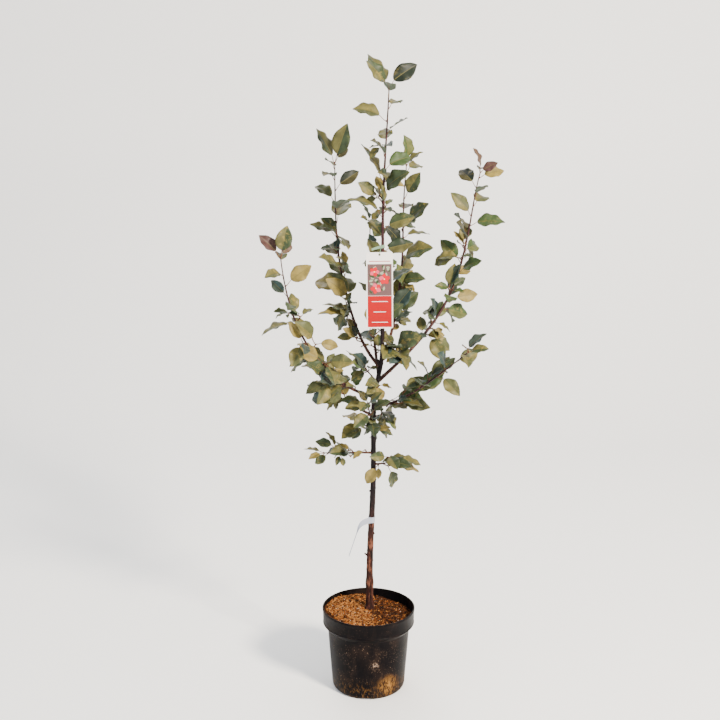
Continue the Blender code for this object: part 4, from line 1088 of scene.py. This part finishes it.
def addSpurWood(batch, template, start, tip, radii, rng):  # a twig with the rings of former years
    share = np.linspace(0, 1, template["rings"])
    points = [start + (tip - start) * s for s in share]
    swell = [1 + 0.16 * math.sin(2 * math.pi * (4 * s + rng.random() * 0.1)) for s in share]
    radii = [(radii[0] + (radii[1] - radii[0]) * s) * r for s, r in zip(share, swell)]
    radii[-1] *= 0.55
    batch.add(template, bentTube(template, points, radii))


def addBud(batch, template, spot, way, radius, length):
    across = unit(np.cross(way, np.array([0.31, 0.52, 0.8])))
    over = np.cross(way, across)
    x, y, z = template["coords"].T
    slim = radius * (1 - 0.35 * z)
    batch.add(template, spot + np.outer(x * slim, across) + np.outer(y * slim, over)
              + np.outer(z * length, way))


def makeLimbs():
    boughs, stems, wood, buds = Batch(), Batch(), Batch(), Batch()
    boughTube, shootTube, twigTube = (tubeTemplate(*limbs[key]) for key in ("bough", "shoot", "twig"))
    for shoot in shoots:
        line = boughCurve(shoot), lambda t: boughRadius(shoot, t)
        addLimb(boughs, boughTube, *line, last=shoot["bare"] + limbs["overlap"])
        addLimb(stems, shootTube, *line, first=shoot["bare"])
    addLimb(stems, shootTube, leaderPoint, leaderRadius)
    rng = random.Random(limbs["seed"])
    for twigs, _ in grown.values():
        for start, tip in twigs:
            addSpurWood(wood, twigTube, start, tip, limbs["twigRadii"], rng)
    for spec in spurs:
        start, aim, whole = spurLine(spec)
        radii = [growRule["spurRadius"] * share for share in limbs["spurTaper"]]
        addSpurWood(wood, twigTube, start, start + aim * whole, radii, rng)
    bm = bmesh.new()
    bmesh.ops.create_uvsphere(bm, u_segments=8, v_segments=7, radius=1)
    bud = templateOf(bm)
    for _, leaves in grown.values():
        for leaf in leaves:
            way = unit(leaf["base"] - leaf["root"])
            addBud(buds, bud, leaf["root"] + way * 0.0032 + up * 0.0012, unit(way + up), *limbs["bud"])
    for shoot in shoots:  # sleeping buds on the bare wood
        point = boughCurve(shoot)
        length = curveLength(point, 0, shoot["bare"])
        for k in range(1, int(length / limbs["sleeperStep"])):
            t = shoot["bare"] * k * limbs["sleeperStep"] / length
            along, outward = aroundLine(point, t, growRule["spiral"] * k)
            addBud(buds, bud, point(t) + outward * boughRadius(shoot, t), unit(outward + along),
                   *limbs["sleeper"])
    for batch, name, key, roughness, slot, nodes in (
            (boughs, "boughWood", "bough", 0.6, "bark", boughNodes),
            (stems, "shootWood", "shoot", 0.48, "foliage", massNodes),
            (wood, "spurWood", "spur", 0.65, "foliage", massNodes)):
        wear(batch.make(name, [limbFinish(key + "Bark", *limbLook[key], roughness)]), slot, *nodes)
    wear(buds.make("buds", [plainFinish("budScale", limbLook["bud"], 0.5, 700)]), "foliage", *massNodes)


makeLimbs()

print("leaves")
blade = {
    "along": 38, "across": 8, "start": 0.012, "end": 0.992, "thickness": 0.010, "teeth": 15,
    "toothDepth": 0.035, "cup": 0.34, "wave": 0.042, "waves": 2.4, "quilt": 0.0042, "veins": 8,
    "veinSlant": 0.22, "rib": (18, 2), "ribWidth": 0.0008, "ribProud": 0.00025,
    "stalk": (0.00115, 0.00075), "stalkSag": 0.06, "midrib": (0.00072, 0.00022), "tube": (16, 6),
    "seed": 23, "roughness": 0.50, "mottle": 0.24, "ribColour": (0.115, 0.100, 0.030),
    "stalkColour": (0.120, 0.050, 0.022),
}


def sheetTemplate(along, across, first, last):  # t and side tell each vertex its place on a leaf
    bm = bmesh.new()
    bmesh.ops.create_grid(bm, x_segments=along, y_segments=across, size=1)
    bmesh.ops.solidify(bm, geom=bm.faces[:], thickness=0.1)
    made = templateOf(bm)
    x, y, z = made["coords"].T
    made["t"] = first + (last - first) * (x + 1) / 2
    made["side"] = y
    made["top"] = z > (z.max() + z.min()) / 2
    made["slots"] = np.where(made["facing"] > 0.5, 0, 1)
    return made


def bladeCoords(leaf, t, side, lift, phase):
    across = np.abs(side)
    tooth = blade["toothDepth"] * ((t * blade["teeth"]) % 1.0) * across ** 6
    width = halfWidths(leaf, t) * across * (1 + tooth)
    fold = math.radians(leaf["fold"]) * (1 - blade["cup"] * across)
    wave = blade["wave"] * np.sin(2 * np.pi * (blade["waves"] * t + phase)) * across ** 2 * np.sign(side)
    veins = np.cos(2 * np.pi * blade["veins"] * (t - blade["veinSlant"] * across))
    veins *= blade["quilt"] * (np.sin(np.pi * across) * 0.8 + 0.1)
    height = (wave + veins) * leaf["length"] * np.sin(np.pi * t) + lift
    return bladeSpots(leaf, t, side, width, height, fold)


def tintOf(leaf, rank, young, rng):  # by the way the leaf faces, its height and chance
    facing = float(leaf["normal"] @ unit(np.array(leafSpec["sun"])))
    height = leaf["base"][2]
    draw = rng.random()
    if rank in young and draw < 0.8:
        return "bronze"
    # Painted shade: leaves turned from the sun take the cool tint half the time
    if facing < 0.45 and draw < 0.5:
        return "cool"
    # Painted sunlight: the more a leaf turns to the sun, the likelier its olive or gold tint
    paintedSun = facing * 0.62 + draw * 0.62 - 0.13 * smoothstep(1.10, 1.45, height)
    if paintedSun > 1.02:
        return "gold"
    if paintedSun > 0.82:
        return "olive"
    if paintedSun > 0.56:
        return "fresh" if leaf["tint"] > 0.62 else "mid"
    return ("dark", "deep", "mid" if height > 1.2 else "cool")[int(leaf["tint"] * 2.999)]


def makeLeaves():
    sheet = sheetTemplate(blade["along"], blade["across"], blade["start"], blade["end"])
    rib = sheetTemplate(*blade["rib"], 0.02, 0.92)
    stalkTube = tubeTemplate(*blade["tube"])
    batches = {key: Batch() for key in leafTints}
    stalks, ribs = Batch(), Batch()
    rng = random.Random(blade["seed"])
    for name, (_, leaves) in grown.items():
        for rank, leaf in enumerate(leaves):
            length, half = leaf["length"], 0.5 * blade["thickness"] * leaf["length"]
            phase = rng.random()
            key = tintOf(leaf, rank, tipLeaves.get(name, ()), rng)
            # The half of the blade turned to the sun gets the third material, which is painted sunlight
            light = float(np.cross(leaf["along"], leaf["normal"]) @ np.array(leafSpec["sun"]))
            paintedSun = (sheet["slots"] == 0) & (sheet["middle"][:, 1] * light < 0) & (abs(light) > 0.12)
            lift = np.where(sheet["top"], half, -half)
            batches[key].add(sheet, bladeCoords(leaf, sheet["t"], sheet["side"], lift, phase),
                             np.where(paintedSun, 2, sheet["slots"]))
            t = rib["t"]
            narrow = blade["ribWidth"] * (1.15 - t) * length / 0.07
            side = rib["side"] * narrow / np.maximum(halfWidths(leaf, t), 1e-4)
            lift = (half + blade["ribProud"]) * np.where(rib["top"], 1, -0.2)
            ribs.add(rib, bladeCoords(leaf, t, side, lift, phase))
            spot, _, normal = bladeFrame(leaf, np.linspace(0.01, 0.86, 10))  # the stalk runs on below
            reach = leaf["base"] - leaf["root"]
            sag = leaf["normal"] * -blade["stalkSag"] * np.linalg.norm(reach)
            stalk = [leaf["root"] + reach * s + sag * math.sin(math.pi * s) for s in np.linspace(0, 0.95, 6)]
            radii = [*np.linspace(*blade["stalk"], 6), *np.linspace(*blade["midrib"], 10)]
            stalks.add(stalkTube, bentTube(stalkTube, stalk + list(spot - normal * half), radii))
    under = leafFinish("leafUnderside", leafUnder, 0.62, 0.14)
    for key, batch in batches.items():
        if batch.count:
            colour, paintedSunShare, ripe = leafTints[key]
            # The second upper finish is the colour mixed towards gold: painted sunlight for the sun-facing
            # halves
            halves = ("Leaf", colour), ("LeafPaintedSun", mixed(colour, paintedSunAndRipeGold, paintedSunShare))
            upper, lit = (leafFinish(key + name, shade, blade["roughness"], blade["mottle"], ripe)
                          for name, shade in halves)
            wear(batch.make(key + "Leaves", [upper, under, lit]), "foliage", *massNodes)
    for batch, name, finish in ((ribs, "leafRibs", ("ribGreen", blade["ribColour"])),
                                (stalks, "leafStalks", ("stalkSkin", blade["stalkColour"]))):
        wear(batch.make(name, [plainFinish(*finish, 0.5, 500)]), "foliage", *massNodes)


makeLeaves()

print("tag, tie and label")
tagLook = {
    "white": (0.80, 0.775, 0.755), "red": (0.350, 0.001, 0.004), "picture": (0.110, 0.062, 0.060),
    "leafDark": (0.030, 0.050, 0.022), "leafPale": (0.270, 0.300, 0.210), "petal": (0.480, 0.006, 0.016),
    "petalPale": (0.600, 0.070, 0.120), "heart": (0.820, 0.640, 0.260), "line": (0.86, 0.80, 0.78),
}
tagPrint = {  # heights are below the card's top
    "proud": 0.00012, "edge": 0.0032, "corner": 0.0006, "picture": (-0.032, -0.118),
    "red": (-0.1188, -0.2045), "stripe": (-0.0235, -0.0255), "bar": 0.0014,
    "bars": ((-0.1335, 0.022), (-0.1620, 0.017), (-0.1905, 0.022)),
    "leaves": 46, "leafLong": (0.009, 0.014), "leafWide": (0.002, 0.0034), "seed": 5, "heart": 0.0018,
    "blossoms": ((-0.014, -0.053, 0.0135), (0.013, -0.073, 0.0155), (-0.010, -0.098, 0.0150)),
}


def cardSpot(along, down):
    a = math.radians(tag["turn"])
    x, y = tag["place"]
    return np.array([x + along * math.cos(a) + down * math.sin(a), y,
                     tag["top"] + along * math.sin(a) - down * math.cos(a)])


def cardMesh(bm, name, angle=None):  # a flat shape drawn in x and z, laid in the plane of the card
    turn = Matrix.Rotation(-math.radians(tag["turn"]), 4, "Y")
    bmesh.ops.transform(bm, verts=bm.verts, matrix=Matrix.Translation(Vector(cardSpot(0, 0))) @ turn)
    return meshFrom(bm, name, angle)


def addPlate(bm, outline, front, thick):  # a thin plate with this outline, its face at a depth
    made = bmesh.ops.create_circle(bm, cap_ends=True, segments=len(outline), radius=1)
    for v, (x, z) in zip(made["verts"], outline):
        v.co = (x, front, z)
    face = made["verts"][0].link_faces[0]
    shift(bm, bmesh.ops.extrude_face_region(bm, geom=[face])["geom"], (0, thick, 0))


def roundedBox(left, right, top, low, corner, steps=6):
    made = []
    for x, z, start in ((right - corner, top - corner, 0), (left + corner, top - corner, 90),
                        (left + corner, low + corner, 180), (right - corner, low + corner, 270)):
        for i in range(steps + 1):
            a = math.radians(start + 90 * i / steps)
            made.append((x + corner * math.cos(a), z + corner * math.sin(a)))
    return made


def pointedOval(x, z, long, wide, turn, steps=14):
    made = []
    cos, sin = math.cos(turn), math.sin(turn)
    for i in range(2 * steps):
        t = i / steps
        s = t if t <= 1 else 2 - t
        w = wide * math.sin(math.pi * s) ** 0.8 * (1 if t <= 1 else -1)
        u = (s - 0.5) * long
        made.append((x + u * cos - w * sin, z + u * sin + w * cos))
    return made


def makeCard(half, deep):
    bm = bmesh.new()
    addPlate(bm, roundedBox(-half, half, 0, -tag["height"], tag["corner"]), -deep, 2 * deep)
    card = newObject("tagCard", cardMesh(bm, "tagCard", 30),
                     plainFinish("tagWhite", tagLook["white"], 0.38, 60, 0.02, 0.0001))
    bm = bmesh.new()
    through = Matrix.Translation((0, 0, -tag["holeDrop"])) @ Matrix.Rotation(math.pi / 2, 4, "X")
    bmesh.ops.create_cone(bm, cap_ends=True, segments=24, radius1=tag["holeRadius"],
                          radius2=tag["holeRadius"], depth=0.01, matrix=through)
    cutAway(card, [bpy.data.objects.new("tagHole", cardMesh(bm, "tagHole"))])
    card.data.set_sharp_from_angle(angle=math.radians(30))
    wear(card, "tag_card", "hang_tag")


def makePrint(half, deep):
    inner = half - tagPrint["edge"]
    front, thick = -deep - tagPrint["proud"], tagPrint["proud"] * 0.9
    layers = {key: bmesh.new() for key in ("picture", "red", "leafDark", "leafPale", "petal", "petalPale",
                                           "heart", "line")}

    def lay(key, outline, level=0.0, depth=1.0):  # level and depth count in layers of print
        addPlate(layers[key], outline, front - thick * level, thick * depth)

    lay("picture", roundedBox(-inner, inner, *tagPrint["picture"], tagPrint["corner"]))
    lay("red", roundedBox(-inner, inner, *tagPrint["red"], tagPrint["corner"]))
    lay("red", roundedBox(-inner + 0.004, inner - 0.004, *tagPrint["stripe"], 0.0009))
    for top, width in tagPrint["bars"]:
        lay("line", roundedBox(-width, width, top, top - tagPrint["bar"], tagPrint["corner"]), 1)
    rng = random.Random(tagPrint["seed"])
    for i in range(tagPrint["leaves"]):
        x, z = rng.uniform(-inner + 0.008, inner - 0.008), rng.uniform(-0.111, -0.039)
        key = "leafDark" if rng.random() < 0.55 else "leafPale"
        long, wide = rng.uniform(*tagPrint["leafLong"]), rng.uniform(*tagPrint["leafWide"])
        lay(key, pointedOval(x, z, long, wide, rng.uniform(0, math.pi)), 1 + 0.05 * i, 0.8)
    for k, (x, z, size) in enumerate(tagPrint["blossoms"]):
        level = 4 + 1.5 * k
        for j in range(5):
            turn = math.radians(72 * j + 20 * k)
            across, down = 0.52 * size * math.cos(turn), 0.52 * size * math.sin(turn)
            lay("petal" if (j + k) % 3 else "petalPale",
                pointedOval(x + across, z + down, size, size * 0.40, turn), level + 0.05 * j)
        lay("heart", [(x + tagPrint["heart"] * math.cos(a), z + tagPrint["heart"] * math.sin(a))
                      for a in np.linspace(0, 2 * math.pi, 12, endpoint=False)], level + 1)
    for key, bm in layers.items():
        finish = plainFinish(key + "Print", tagLook[key], 0.34, 90, 0.05, 0.00005)
        wear(newObject("tagPrint" + key.capitalize(), cardMesh(bm, "tagPrint" + key, 30), finish),
             "tag_card", "hang_tag")


def ribbon(name, points, sides, widths, thickness, across=6):  # a bent strip of a given thickness
    last = len(points) - 1
    bm = bmesh.new()
    bmesh.ops.create_grid(bm, x_segments=last, y_segments=across, size=1)
    for v in bm.verts:
        i = round((v.co.x + 1) / 2 * last)
        v.co = Vector(points[i] + sides[i] * (widths[i] / 2 * v.co.y))
    bmesh.ops.solidify(bm, geom=bm.faces[:], thickness=thickness)
    return meshFrom(bm, name, 50)


def bandMesh(name, height, width, thickness, sides=64):
    inner = trunkRadius(height) + gap * 2
    outline = [(inner, -1), (inner, 1), (inner + thickness * 0.6, 1), (inner + thickness, 0.86),
               (inner + thickness, -0.86), (inner + thickness * 0.6, -1)]
    bm = spunProfile([(r, z * width / 2) for r, z in outline + outline[:1]], sides, 1e-6)
    turn = Vector(up).rotation_difference(Vector(trunkWay(height))).to_matrix().to_4x4()
    bmesh.ops.transform(bm, verts=bm.verts, matrix=Matrix.Translation(Vector(trunkPoint(height))) @ turn)
    return meshFrom(bm, name, 40), inner + thickness


tieLook = {"colour": (0.155, 0.245, 0.165), "steps": 17, "tongueThickness": 0.0008, "rings": 64, "sides": 10}


def makeTie():
    finish = plainFinish("tieGreen", tieLook["colour"], 0.36, 300, 0.10, 0.0002)
    band, outer = bandMesh("tieBand", tieSpec["height"], tieSpec["width"], tieSpec["thickness"])
    axis = trunkPoint(tieSpec["height"])
    front = axis + np.array([0.0, tieSpec["thickness"] / 2 - outer, 0.0])
    share = np.linspace(0, 1, tieLook["steps"])
    points = [front + tieSpec["tongue"] * s * np.array([-1.0, -0.06 - 0.10 * s, -0.13 - 0.12 * s])
              for s in share]
    sides = [np.array([-0.13, 0.0, 1.0])] * len(share)
    widths = [tieSpec["width"] * (0.9 - 0.25 * s) for s in share]
    tongue = ribbon("tieTongue", points, sides, widths, tieLook["tongueThickness"])
    bottom = cardSpot(0, tag["holeDrop"]) + up * (tag["holeRadius"] - tieSpec["loopRadius"] - 2 * gap)
    top = axis + (outer + tieSpec["loopRadius"] * 0.4) * unit(np.array([-0.75, -1.0, 0.0]))
    loop = loopMesh((top + bottom) / 2, (top - bottom) / 2, np.array([0.0, tieSpec["loopDepth"], 0.0]))
    for name, mesh in (("tieBand", band), ("tieTongue", tongue), ("tieLoop", loop)):
        wear(newObject(name, mesh, finish), "tie_plastic", "tag_tie")


def loopMesh(middle, half, depth):  # a plain ring, bent to an oval of this half length and half depth
    bm = bmesh.new()
    section = Matrix.Translation((1, 0, 0)) @ Matrix.Rotation(math.pi / 2, 4, "X")
    start = bmesh.ops.create_circle(bm, cap_ends=False, segments=tieLook["sides"], radius=0.1,
                                    matrix=section)
    bmesh.ops.spin(bm, geom=start["verts"] + bm.edges[:], cent=(0, 0, 0), axis=(0, 0, 1),
                   angle=2 * math.pi, steps=tieLook["rings"], use_merge=True)
    bmesh.ops.remove_doubles(bm, verts=bm.verts, dist=1e-5)
    way, square = unit(half), unit(np.cross(half, depth))
    for v in bm.verts:
        a = math.atan2(v.co.y, v.co.x)
        off, high = (math.hypot(v.co.x, v.co.y) - 1) * 10, v.co.z * 10
        spot = middle - half * math.cos(a) + depth * math.sin(a)
        outward = unit(np.array([0.0, 1.0, 0.0]) * math.sin(a) - way * math.cos(a))
        v.co = Vector(spot + tieSpec["loopRadius"] * (off * outward + high * square))
    return meshFrom(bm, "tieLoop")


label = {
    "height": 0.5025, "width": 0.017, "thickness": 0.0006, "tail": 0.134, "tailWidth": 0.008, "steps": 60,
    "colour": (0.330, 0.355, 0.430), "slope": (8, 64), "slopeEnd": 0.42, "twist": 82,
    "twistPart": (0.16, 0.5),
}


def makeLabel():
    finish = plainFinish("labelPale", label["colour"], 0.48, 140, 0.07, 0.0002)
    band, outer = bandMesh("labelBand", label["height"], label["width"], label["thickness"])
    spot = trunkPoint(label["height"]) + np.array([0.0, label["thickness"] / 2 - outer, 0.0])
    points, sides, widths = [], [], []
    for i in range(label["steps"] + 1):
        share = i / label["steps"]
        bent = smoothstep(0.0, label["slopeEnd"], share)
        slope = math.radians(label["slope"][0] + label["slope"][1] * bent)
        twist = math.radians(label["twist"] * smoothstep(*label["twistPart"], share))
        points.append(spot)
        square = np.array([-math.sin(slope), 0.0, math.cos(slope)])
        sides.append(square * math.cos(twist) + np.array([0.0, 1.0, 0.0]) * math.sin(twist))
        narrower = (label["tailWidth"] - label["width"]) * smoothstep(0.1, 0.4, share)
        widths.append(label["width"] * 0.96 + narrower)
        way = np.array([-math.cos(slope), -0.04, -math.sin(slope)])
        spot = spot + label["tail"] / label["steps"] * way
    tail = ribbon("labelTail", points, sides, widths, label["thickness"] * 0.9)
    for name, mesh in (("labelBand", band), ("labelTail", tail)):
        wear(newObject(name, mesh, finish), "label_plastic", "trunk_label")


makeCard(tag["width"] / 2, tag["thickness"] / 2)
makePrint(tag["width"] / 2, tag["thickness"] / 2)
makeTie()
makeLabel()
